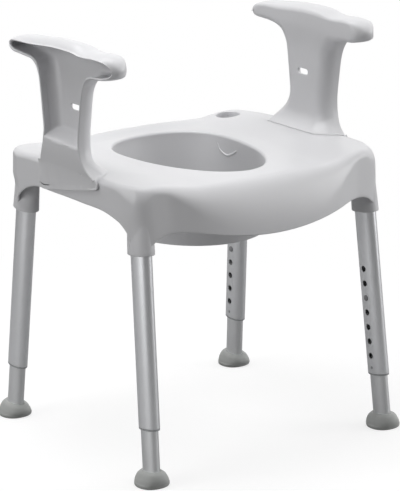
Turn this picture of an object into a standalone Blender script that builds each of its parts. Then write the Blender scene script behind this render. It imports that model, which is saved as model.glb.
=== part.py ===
"""Toilet seat raiser: a moulded seat on four adjustable legs, with two lift-off armrests.

Metres, +Z up, the front of the seat towards -Y, the origin on the floor under the middle
of the whole. Left and right are those of the -X and +X sides.
"""
import math

import bmesh
import bpy
from mathutils import Matrix, Vector, geometry

MM = 0.001

# Clearance between pieces that touch, the play of the button in its hole, and how far a
# cutting shape runs past what it cuts.
GAP = 0.3 * MM
BUTTON_PLAY = 0.5 * MM
OVERCUT = 10.0 * MM

# Seat body.
SEAT_WALL = 3.5 * MM
DECK_HEIGHT = 470.0 * MM
DECK_RISE = 9.5 * MM
DECK_RISE_FROM = 120.0 * MM
DECK_RISE_TO = 216.0 * MM
DECK_FADE = 0.45
DECK_FADE_FROM = 80.0 * MM
DECK_FADE_TO = 190.0 * MM
REAR_RISE_FROM = 148.0 * MM
REAR_RISE_TO = 190.0 * MM
REAR_RISE_HALF_WIDTH = 185.0 * MM
REAR_RISE_FLAT = 15.0 * MM
REFERENCE_HEIGHT = DECK_HEIGHT - 40.0 * MM
SHOULDER_STEPS = 4
SHOULDER_RUN = 2.0 * MM
APRON_STRETCH = 1.0
APRON_STRETCH_FROM = 90.0 * MM
APRON_STRETCH_TO = 200.0 * MM
COVER_KNEE = DECK_HEIGHT - 58.0 * MM
COVER_BLEND = 0.25

# Fractions of the way up the splash guard, angles of the opening's rounded rim, and
# fractions of the way across the deck at which a column has its points.
GUARD_STEPS = (0.0, 0.93)
RIM_ANGLES = (0.0, 45.0, 90.0)
DECK_STEPS = (0.5, 1.0)

# Right half of the seat's outline at the reference height, from the middle of the front
# to the middle of the rear: x, y, depth of the skirt's lower edge below the deck, shoulder
# radius. Where the depth is 0, the skirt is the cover of a leg's socket.
SEAT_OUTLINE_MM = [
    (0.0, -234.6, 84.0, 38.0),
    (50.0, -233.3, 81.7, 37.0),
    (100.0, -227.8, 75.4, 32.0),
    (138.0, -218.5, 69.0, 26.0),
    (166.0, -207.5, 65.0, 19.0),
    (186.0, -200.5, 64.5, 15.0),
    (202.0, -197.5, 67.5, 13.0),
    (214.0, -195.5, 75.0, 12.0),
    (219.0, -194.6, 0.0, 12.0),
    (230.0, -190.3, 0.0, 12.0),
    (240.4, -179.4, 0.0, 12.0),
    (243.8, -171.2, 0.0, 11.0),
    (245.5, -163.4, 63.0, 11.0),
    (248.5, -150.0, 51.5, 10.0),
    (250.3, -130.0, 44.0, 10.0),
    (250.5, -101.0, 39.0, 10.0),
    (250.5, -50.0, 38.5, 10.0),
    (250.5, 0.0, 38.0, 10.0),
    (250.5, 50.0, 38.5, 10.0),
    (250.5, 97.0, 39.0, 10.0),
    (250.4, 125.0, 47.0, 10.0),
    (250.0, 145.0, 59.0, 10.0),
    (248.5, 160.0, 72.0, 11.0),
    (245.0, 172.0, 0.0, 10.0),
    (239.0, 187.0, 0.0, 9.0),
    (229.0, 199.5, 0.0, 9.0),
    (214.0, 207.5, 0.0, 9.0),
    (203.0, 208.6, 0.0, 9.0),
    (197.0, 208.2, 74.0, 9.0),
    (180.0, 206.5, 57.0, 9.0),
    (158.0, 203.8, 45.0, 10.0),
    (125.0, 201.0, 39.0, 12.0),
    (70.0, 197.5, 39.0, 12.0),
    (0.0, 196.0, 39.0, 12.0),
]

# Opening: a blunt half and a long half joined at the widest place, and the round lower
# rim of the splash guard.
OPENING_WIDEST_Y = 47.6 * MM
OPENING_HALF_WIDTH = 106.6 * MM
OPENING_REAR = 100.8 * MM
OPENING_FRONT = 199.4 * MM
OPENING_POWER_REAR = 2.35
OPENING_POWER_FRONT = 1.95
RIM_ROUND = 6.0 * MM
GUARD_RADIUS = 113.5 * MM
GUARD_Y = -2.4 * MM
GUARD_BOTTOM = DECK_HEIGHT - 128.0 * MM

# Round cup let into the right rear corner, with a slit down its wall.
CUP_X = 192.0 * MM
CUP_Y = 170.6 * MM
CUP_RADIUS = 21.0 * MM
CUP_WALL = 3.0 * MM
CUP_STEPS = 32
CUP_BOTTOM = DECK_HEIGHT - 19.0 * MM
CUP_FLOOR = 3.0 * MM
SLIT_WIDTH = 1.6 * MM
SLIT_TURN = math.radians(18.0)
SLIT_FROM_FLOOR = 1.0 * MM
SLIT_FROM_TOP = 5.5 * MM
SLIT_REACH = 3.0 * MM

# Legs: each axis meets the floor at its foot and leans inwards and to the middle.
LEG_FOOT_X = {"front": 236.8 * MM, "rear": 232.6 * MM}
LEG_FOOT_Y = 211.0 * MM
LEG_LEAN_X = 0.031
LEG_LEAN_Y = {"front": 0.106, "rear": 0.093}
OVAL_STEPS = 24

# Half sizes of the oval sections, across (X) and along (Y) the seat's side.
OUTER_TUBE_HALF = (13.8 * MM, 22.4 * MM)
OUTER_TUBE_WALL = 1.3 * MM
INNER_TUBE_HALF = (11.2 * MM, 18.6 * MM)
INNER_TUBE_WALL = 1.5 * MM
SOCKET_WALL = 5.1 * MM
SOCKET_TAPER = 2.5 * MM
COVER_SKIN = 1.5 * MM

# Places along a leg's axis, measured from the floor.
SOCKET_MOUTH = DECK_HEIGHT - 97.7 * MM
SOCKET_DEPTH = 77.0 * MM
SOCKET_ROOF = DECK_HEIGHT - 18.0 * MM
OUTER_TUBE_LENGTH = 355.8 * MM
INNER_TUBE_TOP = 302.0 * MM
FOOT_SOLE = 7.0 * MM
BUTTON_HEIGHT = 224.3 * MM
HOLE_PITCH = 25.0 * MM
HOLES_ABOVE_BUTTON = 2
HOLES_BELOW_BUTTON = 4
BUTTON_RADIUS = 4.75 * MM
LUG_HEIGHT = 10.5 * MM
LUG_RADIUS = 2.2 * MM
LUG_PLAY = 0.4 * MM

# End bush, guide ring, button and spring clip.
BUSH_FLANGE = 2.5 * MM
BUSH_SLEEVE = 18.0 * MM
LUG_ROOT = 1.5 * MM
RING_FLANGE = 5.0 * MM
RING_PLUG = 10.0 * MM
RING_WALL = 2.2 * MM
BUTTON_PROUD = 1.9 * MM
BUTTON_SHOULDER_RADIUS = 6.0 * MM
BUTTON_SHOULDER = 1.2 * MM
CLIP_THICKNESS = 0.8 * MM
CLIP_WIDTH = 7.0 * MM
CLIP_BELOW = 36.0 * MM
CLIP_ABOVE = 6.0 * MM
CLIP_BEND = 3.0 * MM

# Rubber foot: half sizes at the rim and at the base, and the outside from the floor up, as
# height along the leg, share of the base's size, and how square the ring is to the leg.
FOOT_RIM_WALL = 2.6 * MM
FOOT_BASE_HALF = (27.6 * MM, 25.7 * MM)
FOOT_HEIGHT = 23.5 * MM
FOOT_PROFILE = (
    (0.0, 0.94, 0.0),
    (1.0 * MM, 1.0, 0.0),
    (5.0 * MM, 1.0, 0.1),
    (7.0 * MM, 0.9, 0.2),
    (12.0 * MM, 0.72, 0.5),
    (17.0 * MM, 0.54, 0.8),
    (20.5 * MM, 0.38, 1.0),
    (22.8 * MM, 0.13, 1.0),
    (FOOT_HEIGHT, -0.06, 1.0),
)
FOOT_SIDE_BULGE = 4.6 * MM

# Tenon that carries each armrest.
TENON_X = 240.0 * MM
TENON_THICKNESS = 12.0 * MM
TENON_WIDTH = 80.0 * MM
TENON_TOP = DECK_HEIGHT + 50.0 * MM
TENON_ROOT = DECK_HEIGHT + 5.5 * MM

# Armrest, drawn for the +X side. Its outline is the edge that the side view shows: y,
# height above the deck, x of the outer edge, x where the rounding starts, rounding, crown.
ARM_WALL = 4.0 * MM
ARM_WEB_X = 227.0 * MM
ARM_LIP_X = 252.6 * MM
ARM_TOE = 12.0 * MM
ARM_TOE_TOP = DECK_HEIGHT + 35.0 * MM
ARM_TOE_BOTTOM = DECK_HEIGHT + 6.0 * MM
GRIP_X = 247.0 * MM
GRIP_Y = 2.8 * MM
GRIP_STRAIGHT = 128.0 * MM
GRIP_END_HALF_WIDTH = 24.5 * MM
GRIP_END_MOST = 0.98
TOE_STRAIGHT = 44.0 * MM
TOE_REACH = 50.0 * MM
TOE_LEAST = 0.3
TOE_FADE_FROM = DECK_HEIGHT + 30.0 * MM
TOE_FADE_TO = DECK_HEIGHT + 90.0 * MM
GRIP_BULGE = 3.5 * MM
GRIP_BULGE_FROM = DECK_HEIGHT + 142.0 * MM
GRIP_BULGE_TO = DECK_HEIGHT + 190.0 * MM
ARM_CROWN_STEPS = (0.0, 0.4, 0.85)
ARM_INNER_CROWN = 0.4
ARM_ROUND_STEPS = 4
ARM_WEB_COLUMNS_MM = (-40.0, -14.0, 14.0, 40.0)
ARM_WEB_ROWS_MM = (-8.0, 2.0, 10.0, 18.0, 26.0, 36.0, 90.0, 145.0, 158.0, 172.0, 186.0)
SHELF_BACK = DECK_HEIGHT + 66.0 * MM
SHELF_FRONT = DECK_HEIGHT + 51.0 * MM
SLOT_Y = 2.6 * MM
SLOT_Z = DECK_HEIGHT + 106.0 * MM
SLOT_LENGTH = 27.0 * MM
SLOT_HEIGHT = 9.5 * MM
ARM_BASE_POINTS = 10
ARM_Y = 1.1 * MM

ARM_OUTLINE_MM = [
    (1.1, -24.0, 252.6, 252.0, 5.0, 0.0),
    (35.0, -21.2, 252.6, 252.0, 5.0, 0.0),
    (62.0, -14.8, 252.6, 252.0, 5.0, 0.0),
    (80.0, -8.0, 252.6, 252.0, 5.0, 0.0),
    (90.1, -3.0, 252.6, 252.0, 5.0, 0.0),
    (85.0, 4.5, 253.2, 251.5, 4.5, 0.0),
    (75.5, 11.5, 255.4, 251.5, 4.5, 0.0),
    (65.0, 21.0, 258.0, 252.0, 8.0, 0.0),
    (58.0, 33.0, 260.2, 252.5, 17.0, 0.0),
    (54.0, 47.0, 261.5, 253.0, 24.0, 0.0),
    (52.8, 65.0, 261.5, 253.0, 26.0, 0.0),
    (54.7, 86.0, 261.5, 253.0, 26.0, 0.0),
    (58.0, 112.0, 261.5, 253.0, 25.0, 0.0),
    (61.5, 138.0, 261.5, 253.0, 24.0, 0.0),
    (64.5, 155.0, 262.0, 253.0, 21.0, 0.0),
    (70.5, 166.5, 263.0, 252.5, 17.0, 1.0),
    (80.0, 173.5, 264.0, 252.0, 10.0, 2.0),
    (96.0, 177.0, 265.0, 251.0, 10.0, 1.0),
    (118.0, 179.0, 266.0, 250.0, 8.0, 1.0),
    (136.0, 180.6, 266.5, 250.0, 6.0, 1.0),
    (146.5, 183.0, 265.5, 249.0, 4.5, 1.0),
    (153.0, 186.5, 261.5, 248.0, 4.5, 1.5),
    (155.0, 192.0, 259.0, 248.0, 4.5, 2.0),
    (150.5, 198.0, 261.5, 248.0, 4.5, 2.0),
    (140.0, 203.0, 267.5, 249.0, 5.5, 3.0),
    (125.0, 207.2, 270.0, 250.0, 6.0, 5.0),
    (104.0, 210.5, 270.0, 250.0, 6.0, 8.0),
    (78.0, 213.0, 270.0, 250.0, 8.5, 10.0),
    (45.0, 216.5, 270.0, 250.0, 10.0, 11.0),
    (8.0, 219.2, 270.0, 250.0, 10.0, 11.0),
    (-25.0, 220.0, 270.0, 250.0, 10.0, 11.0),
    (-48.0, 218.0, 270.0, 250.0, 10.0, 10.0),
    (-66.0, 213.6, 270.0, 250.0, 7.5, 8.0),
    (-84.0, 211.8, 270.0, 250.0, 5.5, 6.0),
    (-104.0, 213.4, 270.0, 250.0, 6.0, 6.0),
    (-122.0, 213.4, 270.0, 250.0, 6.5, 6.0),
    (-136.0, 210.2, 269.0, 250.0, 6.0, 4.0),
    (-147.5, 202.5, 264.5, 249.0, 4.5, 2.0),
    (-152.5, 192.5, 259.5, 248.0, 4.5, 2.0),
    (-150.0, 183.0, 261.5, 248.0, 4.5, 1.5),
    (-140.0, 177.2, 265.5, 249.0, 6.0, 1.0),
    (-122.0, 174.0, 266.0, 250.0, 8.0, 1.0),
    (-104.0, 172.4, 265.0, 251.0, 10.0, 1.0),
    (-90.0, 170.2, 264.0, 252.0, 10.0, 2.0),
    (-76.5, 164.5, 263.0, 252.5, 17.0, 1.0),
    (-68.0, 154.0, 262.0, 253.0, 21.0, 0.0),
    (-62.0, 138.0, 261.5, 253.0, 24.0, 0.0),
    (-57.0, 112.0, 261.5, 253.0, 25.0, 0.0),
    (-53.0, 86.0, 261.5, 253.0, 26.0, 0.0),
    (-50.7, 65.0, 261.5, 253.0, 26.0, 0.0),
    (-51.5, 47.0, 261.5, 253.0, 26.0, 0.0),
    (-55.3, 33.0, 260.2, 252.5, 25.0, 0.0),
    (-62.3, 21.0, 258.0, 252.0, 19.0, 0.0),
    (-73.3, 11.5, 255.4, 251.5, 10.0, 0.0),
    (-82.8, 4.5, 253.2, 251.5, 5.0, 0.0),
    (-89.0, -3.6, 252.6, 252.0, 5.0, 0.0),
    (-82.0, -7.0, 252.6, 252.0, 5.0, 0.0),
    (-62.0, -10.8, 252.6, 252.0, 5.0, 0.0),
    (-34.0, -16.2, 252.6, 252.0, 5.0, 0.0),
]

# Colours are linear RGB.
MATERIALS = {
    "seat_plastic": ((0.66, 0.66, 0.68), 0.42, 0.0),
    "tube_aluminium": ((0.62, 0.63, 0.66), 0.38, 1.0),
    "inner_aluminium": ((0.50, 0.51, 0.53), 0.45, 1.0),
    "bush_plastic": ((0.46, 0.47, 0.48), 0.5, 0.0),
    "button_plastic": ((0.10, 0.10, 0.11), 0.45, 0.0),
    "spring_steel": ((0.55, 0.55, 0.55), 0.3, 1.0),
    "foot_rubber": ((0.27, 0.28, 0.27), 0.65, 0.0),
}

CORNERS = [
    ("front_left", -1, "front"),
    ("front_right", 1, "front"),
    ("rear_left", -1, "rear"),
    ("rear_right", 1, "rear"),
]


def clear_scene():
    """Remove every object and mesh of an earlier run."""
    for obj in list(bpy.data.objects):
        bpy.data.objects.remove(obj, do_unlink=True)
    for mesh in list(bpy.data.meshes):
        bpy.data.meshes.remove(mesh)


def collection(name):
    """A collection of this name under the scene, new or found."""
    found = bpy.data.collections.get(name)
    if found is None:
        found = bpy.data.collections.new(name)
        bpy.context.scene.collection.children.link(found)
    return found


def material(name):
    """The Principled material that MATERIALS describes."""
    found = bpy.data.materials.get(name)
    if found is None:
        colour, roughness, metallic = MATERIALS[name]
        found = bpy.data.materials.new(name)
        found.use_nodes = True
        shader = found.node_tree.nodes["Principled BSDF"]
        shader.inputs["Base Color"].default_value = (*colour, 1.0)
        shader.inputs["Roughness"].default_value = roughness
        shader.inputs["Metallic"].default_value = metallic
    return found


def add_piece(name, mesh, slot, parent=None):
    """A finished piece in the raiser's collection, shaded smooth."""
    obj = bpy.data.objects.new(name, mesh)
    collection("toilet_seat_raiser").objects.link(obj)
    mesh.materials.append(material(slot))
    mesh.shade_smooth()
    mesh.set_sharp_from_angle(angle=math.radians(35))
    obj.parent = parent
    return obj


def add_tool(name, mesh, parent=None):
    """A shape that only joins or cuts another one."""
    obj = bpy.data.objects.new(name, mesh)
    collection("cutters").objects.link(obj)
    obj.hide_render = True
    obj.display_type = "WIRE"
    obj.parent = parent
    return obj


def boolean(obj, operation, tool):
    """Join the tool to the piece, or cut it away."""
    modifier = obj.modifiers.new(operation.lower(), "BOOLEAN")
    modifier.operation = operation
    modifier.solver = "EXACT"
    modifier.object = tool


def finish_mesh(name, work, recalculate=True):
    """A mesh from a bmesh, with its faces pointing out."""
    if recalculate:
        bmesh.ops.recalc_face_normals(work, faces=work.faces)
    mesh = bpy.data.meshes.new(name)
    work.to_mesh(mesh)
    work.free()
    return mesh


def loft(name, rings, close=True, caps=True):
    """Quads between rings of equal length, with flat caps on the first and last one."""
    work = bmesh.new()
    rows = [[work.verts.new(point) for point in ring] for ring in rings]
    count = len(rows[0])
    for low, high in zip(rows, rows[1:]):
        for i in range(count if close else count - 1):
            j = (i + 1) % count
            work.faces.new((low[i], low[j], high[j], high[i]))
    if caps:
        work.faces.new(rows[0][::-1])
        work.faces.new(rows[-1])
    return finish_mesh(name, work, recalculate=caps)


def merge_meshes(name, meshes):
    """One mesh that holds several separate closed bodies."""
    work = bmesh.new()
    for mesh in meshes:
        work.from_mesh(mesh)
        bpy.data.meshes.remove(mesh)
    merged = bpy.data.meshes.new(name)
    work.to_mesh(merged)
    work.free()
    return merged


def oval_prism(name, half, low, high):
    """An upright oval prism between two heights, from a cylinder primitive."""
    work = bmesh.new()
    bmesh.ops.create_cone(
        work, cap_ends=True, segments=OVAL_STEPS, radius1=1.0, radius2=1.0, depth=1.0
    )
    bmesh.ops.scale(work, vec=(half[0], half[1], high - low), verts=work.verts)
    bmesh.ops.translate(work, vec=(0.0, 0.0, (low + high) / 2), verts=work.verts)
    return finish_mesh(name, work)


def rod_along_x(name, radius, start, end, y, z, steps=10):
    """A round rod along X between two places."""
    work = bmesh.new()
    bmesh.ops.create_cone(
        work, cap_ends=True, segments=steps, radius1=radius, radius2=radius, depth=abs(end - start)
    )
    bmesh.ops.rotate(work, matrix=Matrix.Rotation(math.pi / 2, 3, "Y"), verts=work.verts)
    bmesh.ops.translate(work, vec=((start + end) / 2, y, z), verts=work.verts)
    return finish_mesh(name, work)


def block(name, low, high):
    """A box between two corners."""
    work = bmesh.new()
    bmesh.ops.create_cube(work, size=1.0)
    size = [b - a for a, b in zip(low, high)]
    middle = [(a + b) / 2 for a, b in zip(low, high)]
    bmesh.ops.scale(work, vec=size, verts=work.verts)
    bmesh.ops.translate(work, vec=middle, verts=work.verts)
    return finish_mesh(name, work)


def shrink(half, wall):
    """Half sizes of an oval that lies a wall's thickness inside another one."""
    return (half[0] - wall, half[1] - wall)


def smoothstep(value, start, end):
    """0 before the start, 1 after the end, and a soft rise between them."""
    t = min(max((value - start) / (end - start), 0.0), 1.0)
    return t * t * (3.0 - 2.0 * t)


class Leg:
    """The leaning axis of one leg and the frame that its pieces are placed in."""

    def __init__(self, side, end):
        self.side = side
        self.front = -1 if end == "front" else 1
        self.foot = Vector((side * LEG_FOOT_X[end], self.front * LEG_FOOT_Y, 0.0))
        lean = (-side * LEG_LEAN_X, -self.front * LEG_LEAN_Y[end], 1.0)
        self.up = Vector(lean).normalized()
        along = Vector((0.0, 1.0, 0.0))
        along = (along - self.up * along.dot(self.up)).normalized()
        across = along.cross(self.up)
        self.frame = Matrix((across, along, self.up)).transposed().to_4x4()
        self.frame.translation = self.foot

    def at(self, x, y, w):
        """A point of the leg's own frame in the world."""
        return self.frame @ Vector((x, y, w))

    def axis_at_height(self, z):
        """The axis at a height above the floor."""
        return self.foot + self.up * (z / self.up.z)


def deck_height(x, y):
    """The deck is a shallow dish: it rises to both sides and to the middle of the rear."""
    side = smoothstep(abs(x), DECK_RISE_FROM, DECK_RISE_TO)
    side *= 1.0 - DECK_FADE * smoothstep(y, DECK_FADE_FROM, DECK_FADE_TO)
    rear = smoothstep(y, REAR_RISE_FROM, REAR_RISE_TO)
    rear *= 1.0 - smoothstep(abs(x), REAR_RISE_FLAT, REAR_RISE_HALF_WIDTH)
    return DECK_HEIGHT + DECK_RISE * max(side, rear)


def shoulder_drop(x, y, radius):
    """Height of the shoulder: its radius, and up to twice that in the apron's middle."""
    if y > 0.0:
        return radius
    middle = 1.0 - smoothstep(abs(x), APRON_STRETCH_FROM, APRON_STRETCH_TO)
    return radius * (1.0 + APRON_STRETCH * middle)


def opening_point(x, y, grow):
    """Where the line from the opening's widest place to (x, y) meets the opening."""
    dx = x
    dy = y - OPENING_WIDEST_Y
    rear = dy > 0
    length = (OPENING_REAR if rear else OPENING_FRONT) + grow
    power = OPENING_POWER_REAR if rear else OPENING_POWER_FRONT
    width = OPENING_HALF_WIDTH + grow
    scale = (abs(dx) / width) ** power + (abs(dy) / length) ** power
    k = scale ** (-1.0 / power)
    return (dx * k, OPENING_WIDEST_Y + dy * k)


def guard_point(x, y):
    """Where the line from the guard's middle to (x, y) meets its round lower rim."""
    dx = x
    dy = y - GUARD_Y
    k = GUARD_RADIUS / math.hypot(dx, dy)
    return (dx * k, GUARD_Y + dy * k)


def outline_normals(points):
    """Outward normals of the half outline, square to the line from neighbour to neighbour."""
    normals = []
    for i, (x, y) in enumerate(points):
        before = points[i - 1] if i else (-points[1][0], points[1][1])
        last = i == len(points) - 1
        after = (-points[i - 1][0], points[i - 1][1]) if last else points[i + 1]
        tangent = Vector((after[0] - before[0], after[1] - before[1])).normalized()
        normals.append((tangent.y, -tangent.x))
    return normals


def cover_foot(leg, x, y, gap):
    """The end of the corner cover: on the socket's oval, level with the socket's mouth."""
    centre = leg.axis_at_height(REFERENCE_HEIGHT)
    half = (
        OUTER_TUBE_HALF[0] + SOCKET_WALL + COVER_SKIN + gap,
        OUTER_TUBE_HALF[1] + SOCKET_WALL + COVER_SKIN + gap,
    )
    angle = math.atan2((y - centre.y) / half[1], (x - centre.x) / half[0])
    return leg.at(half[0] * math.cos(angle), half[1] * math.sin(angle), SOCKET_MOUTH)


def seat_columns(gap=0.0):
    """The seat's skin as columns from the guard's lower rim out to the skirt's lower edge."""
    legs = {end: Leg(1, end) for end in ("front", "rear")}
    rows = [[value * MM for value in row] for row in SEAT_OUTLINE_MM]
    normals = outline_normals([row[:2] for row in rows])
    columns = []
    for (x, y, depth, radius), (nx, ny) in zip(rows, normals):
        end = "front" if y < 0 else "rear"

        def wall_point(z, inset):
            drop = REFERENCE_HEIGHT - z
            lean_x = LEG_LEAN_X * abs(nx) * drop
            lean_y = LEG_LEAN_Y[end] * abs(ny) * drop
            out = gap - inset
            return (x + nx * (out + lean_x), y + ny * (out + lean_y), z)

        hole = opening_point(x, y, 0.0)
        guard = guard_point(*hole)
        column = []
        for f in GUARD_STEPS:
            px = guard[0] + (hole[0] - guard[0]) * f
            py = guard[1] + (hole[1] - guard[1]) * f
            column.append((px, py, GUARD_BOTTOM + f * (DECK_HEIGHT - RIM_ROUND - GUARD_BOTTOM)))
        for angle in RIM_ANGLES:
            turn = math.radians(angle)
            px, py = opening_point(x, y, RIM_ROUND * (1.0 - math.cos(turn)))
            fall = RIM_ROUND * (1.0 - math.sin(turn))
            column.append((px, py, deck_height(px, py) - fall + gap))

        drop = shoulder_drop(x, y, radius)
        edge = wall_point(DECK_HEIGHT - drop, radius + SHOULDER_RUN)
        rim = column[-1]
        for f in DECK_STEPS:
            px = rim[0] + (edge[0] - rim[0]) * f
            py = rim[1] + (edge[1] - rim[1]) * f
            column.append((px, py, deck_height(px, py) + gap))
        top = deck_height(edge[0], edge[1]) + gap
        for step in range(1, SHOULDER_STEPS + 1):
            turn = math.radians(90.0 * step / SHOULDER_STEPS)
            z = top - drop * (1.0 - math.cos(turn))
            column.append(wall_point(z, radius * (1.0 - math.sin(turn))))
        if depth > 0.0:
            low = DECK_HEIGHT - depth
            column.append(wall_point((column[-1][2] + low) / 2, 0.0))
            column.append(wall_point(low, 0.0))
        else:
            foot = cover_foot(legs[end], x, y, gap)
            knee = Vector(wall_point(COVER_KNEE, 0.0))
            column.append(tuple(knee.lerp(foot, COVER_BLEND)))
            column.append(tuple(foot))
        columns.append(column)
    return columns


def half_seat_skin():
    """The right half of the seat's outer surface, open at the middle plane."""
    columns = seat_columns()
    work = bmesh.new()
    grid = []
    for i, column in enumerate(columns):
        flat = i in (0, len(columns) - 1)
        grid.append([work.verts.new((0.0 if flat else x, y, z)) for x, y, z in column])
    for left, right in zip(grid, grid[1:]):
        for j in range(len(left) - 1):
            work.faces.new((left[j], left[j + 1], right[j + 1], right[j]))
    return finish_mesh("seat_skin", work, recalculate=False)


def socket_posts():
    """The four leg sockets, tapered upwards, and solid until they are bored."""
    half = (OUTER_TUBE_HALF[0] + SOCKET_WALL, OUTER_TUBE_HALF[1] + SOCKET_WALL)
    roof_half = shrink(half, SOCKET_TAPER)
    posts = []
    for name, side, end in CORNERS:
        leg = Leg(side, end)
        mouth = []
        roof = []
        for i in range(OVAL_STEPS):
            angle = 2.0 * math.pi * i / OVAL_STEPS
            cos, sin = math.cos(angle), math.sin(angle)
            mouth.append(leg.at(half[0] * cos, half[1] * sin, SOCKET_MOUTH))
            point = leg.at(roof_half[0] * cos, roof_half[1] * sin, SOCKET_MOUTH)
            roof.append(point + leg.up * ((SOCKET_ROOF - point.z) / leg.up.z))
        posts.append(loft("post_" + name, [mouth, roof]))
    return posts


def upright_rod(name, radius, x, y, low, high):
    """An upright round rod between two heights, from a cylinder primitive."""
    work = bmesh.new()
    bmesh.ops.create_cone(
        work, cap_ends=True, segments=24, radius1=radius, radius2=radius, depth=high - low
    )
    bmesh.ops.translate(work, vec=(x, y, (low + high) / 2), verts=work.verts)
    return finish_mesh(name, work)


def cup_wall():
    """The round wall of the corner cup up into the deck, solid until it is cut."""
    rings = [[], []]
    for i in range(CUP_STEPS):
        turn = 2.0 * math.pi * i / CUP_STEPS
        x = CUP_X + (CUP_RADIUS + CUP_WALL) * math.cos(turn)
        y = CUP_Y + (CUP_RADIUS + CUP_WALL) * math.sin(turn)
        rings[0].append((x, y, CUP_BOTTOM))
        rings[1].append((x, y, deck_height(x, y) - SEAT_WALL / 2))
    return loft("cup_wall", rings)


def tenons():
    """The two upright tongues that the armrests slip over."""
    made = []
    for side in (-1, 1):
        near = side * (TENON_X - TENON_THICKNESS / 2)
        far = side * (TENON_X + TENON_THICKNESS / 2)
        low = (min(near, far), ARM_Y - TENON_WIDTH / 2, TENON_ROOT)
        high = (max(near, far), ARM_Y + TENON_WIDTH / 2, TENON_TOP)
        made.append(block("tenon", low, high))
    return made


def seat_cuts():
    """Socket bores and the inside of the corner cup."""
    cuts = []
    bore = (OUTER_TUBE_HALF[0] + GAP, OUTER_TUBE_HALF[1] + GAP)
    for name, side, end in CORNERS:
        cut = oval_prism("bore_" + name, bore, SOCKET_MOUTH - OVERCUT, SOCKET_MOUTH + SOCKET_DEPTH)
        cut.transform(Leg(side, end).frame)
        cuts.append(cut)
    low = CUP_BOTTOM + CUP_FLOOR
    high = DECK_HEIGHT + OVERCUT
    cuts.append(upright_rod("cup", CUP_RADIUS, CUP_X, CUP_Y, low, high))
    return cuts


def slit_cut():
    """A narrow slit down the rear wall of the corner cup."""
    cut = block(
        "slit",
        (-SLIT_WIDTH / 2, CUP_RADIUS - SLIT_REACH, CUP_BOTTOM + CUP_FLOOR + SLIT_FROM_FLOOR),
        (SLIT_WIDTH / 2, CUP_RADIUS + CUP_WALL + SLIT_REACH, DECK_HEIGHT - SLIT_FROM_TOP),
    )
    place = Matrix.Translation((CUP_X, CUP_Y, 0.0))
    cut.transform(place @ Matrix.Rotation(-SLIT_TURN, 4, "Z"))
    return cut


def build_seat():
    """The moulded seat body."""
    seat = add_piece("seat_shell", half_seat_skin(), "seat_plastic")
    mirror = seat.modifiers.new("mirror", "MIRROR")
    mirror.merge_threshold = 0.0001
    solid = seat.modifiers.new("wall", "SOLIDIFY")
    solid.thickness = SEAT_WALL
    solid.offset = -1.0
    boolean(seat, "UNION", add_tool("socket_posts", merge_meshes("posts", socket_posts())))
    boolean(seat, "UNION", add_tool("cup_wall", cup_wall()))
    boolean(seat, "UNION", add_tool("tenons", merge_meshes("tenons", tenons())))
    boolean(seat, "DIFFERENCE", add_tool("seat_cuts", merge_meshes("seat_cuts", seat_cuts())))
    boolean(seat, "DIFFERENCE", add_tool("slit_cut", slit_cut()))
    return seat


def arm_web(z):
    """x of the armrest's inner face: it flares into a toe at the seat and bulges at the grip."""
    toe = (ARM_TOE_TOP - z) / (ARM_TOE_TOP - ARM_TOE_BOTTOM)
    toe = min(max(toe, 0.0), 1.0) ** 2.2
    bulge = smoothstep(z, GRIP_BULGE_FROM, GRIP_BULGE_TO)
    return ARM_WEB_X - ARM_TOE * toe - GRIP_BULGE * bulge


def round_in_plan(x, y, z):
    """Make the grip's ends round from above, and draw the toe's front out to a thin tip."""
    past = abs(y - GRIP_Y) - GRIP_STRAIGHT
    if past > 0.0:
        aside = min(abs(x - GRIP_X) / GRIP_END_HALF_WIDTH, GRIP_END_MOST)
        past *= math.sqrt(1.0 - aside**2)
        y = GRIP_Y + math.copysign(GRIP_STRAIGHT + past, y)
    toe = max(ARM_Y - y - TOE_STRAIGHT, 0.0) / TOE_REACH
    fade = 1.0 - smoothstep(z, TOE_FADE_FROM, TOE_FADE_TO)
    keep = 1.0 - (1.0 - max(1.0 - toe**2, TOE_LEAST)) * fade
    return (ARM_LIP_X - (ARM_LIP_X - x) * keep, y, z)


def arm_outline():
    """The armrest's outline in metres, its heights above the floor."""
    rows = [[value * MM for value in row] for row in ARM_OUTLINE_MM]
    return [(y, DECK_HEIGHT + height, *rest) for y, height, *rest in rows]


def arm_inward(rows):
    """Directions in (y, z) that point from the outline into the armrest."""
    inward = []
    for i in range(len(rows)):
        before = rows[i - 1]
        after = rows[(i + 1) % len(rows)]
        along = Vector((after[0] - before[0], after[1] - before[1])).normalized()
        inward.append((-along.y, along.x))
    return inward


def arm_rings():
    """Rings of the armrest's skin, from its outer edge round to its flat inner face.

    The crown sinks the top of the grip away from its crest, fully at the outer edge and
    partly at the inner face, and a round corner then turns the skin into that face.
    """
    rows = arm_outline()
    inward = arm_inward(rows)
    rings = []
    for f in ARM_CROWN_STEPS:
        ring = []
        for (y, z, edge, crest, _, crown), (ny, nz) in zip(rows, inward):
            inset = crown * (1.0 - f) ** 2
            ring.append((edge + (crest - edge) * f, y + ny * inset, z + nz * inset))
        rings.append(ring)
    for step in range(ARM_ROUND_STEPS + 1):
        turn = math.radians(90.0 * step / ARM_ROUND_STEPS)
        ring = []
        for (y, z, _, crest, radius, crown), (ny, nz) in zip(rows, inward):
            inset = radius * (1.0 - math.cos(turn)) + crown * ARM_INNER_CROWN
            py = y + ny * inset
            pz = z + nz * inset
            ring.append((arm_web(pz) + radius * (1.0 - math.sin(turn)), py, pz))
        rings.append(ring)
    return [[round_in_plan(*point) for point in ring] for ring in rings]


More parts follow.
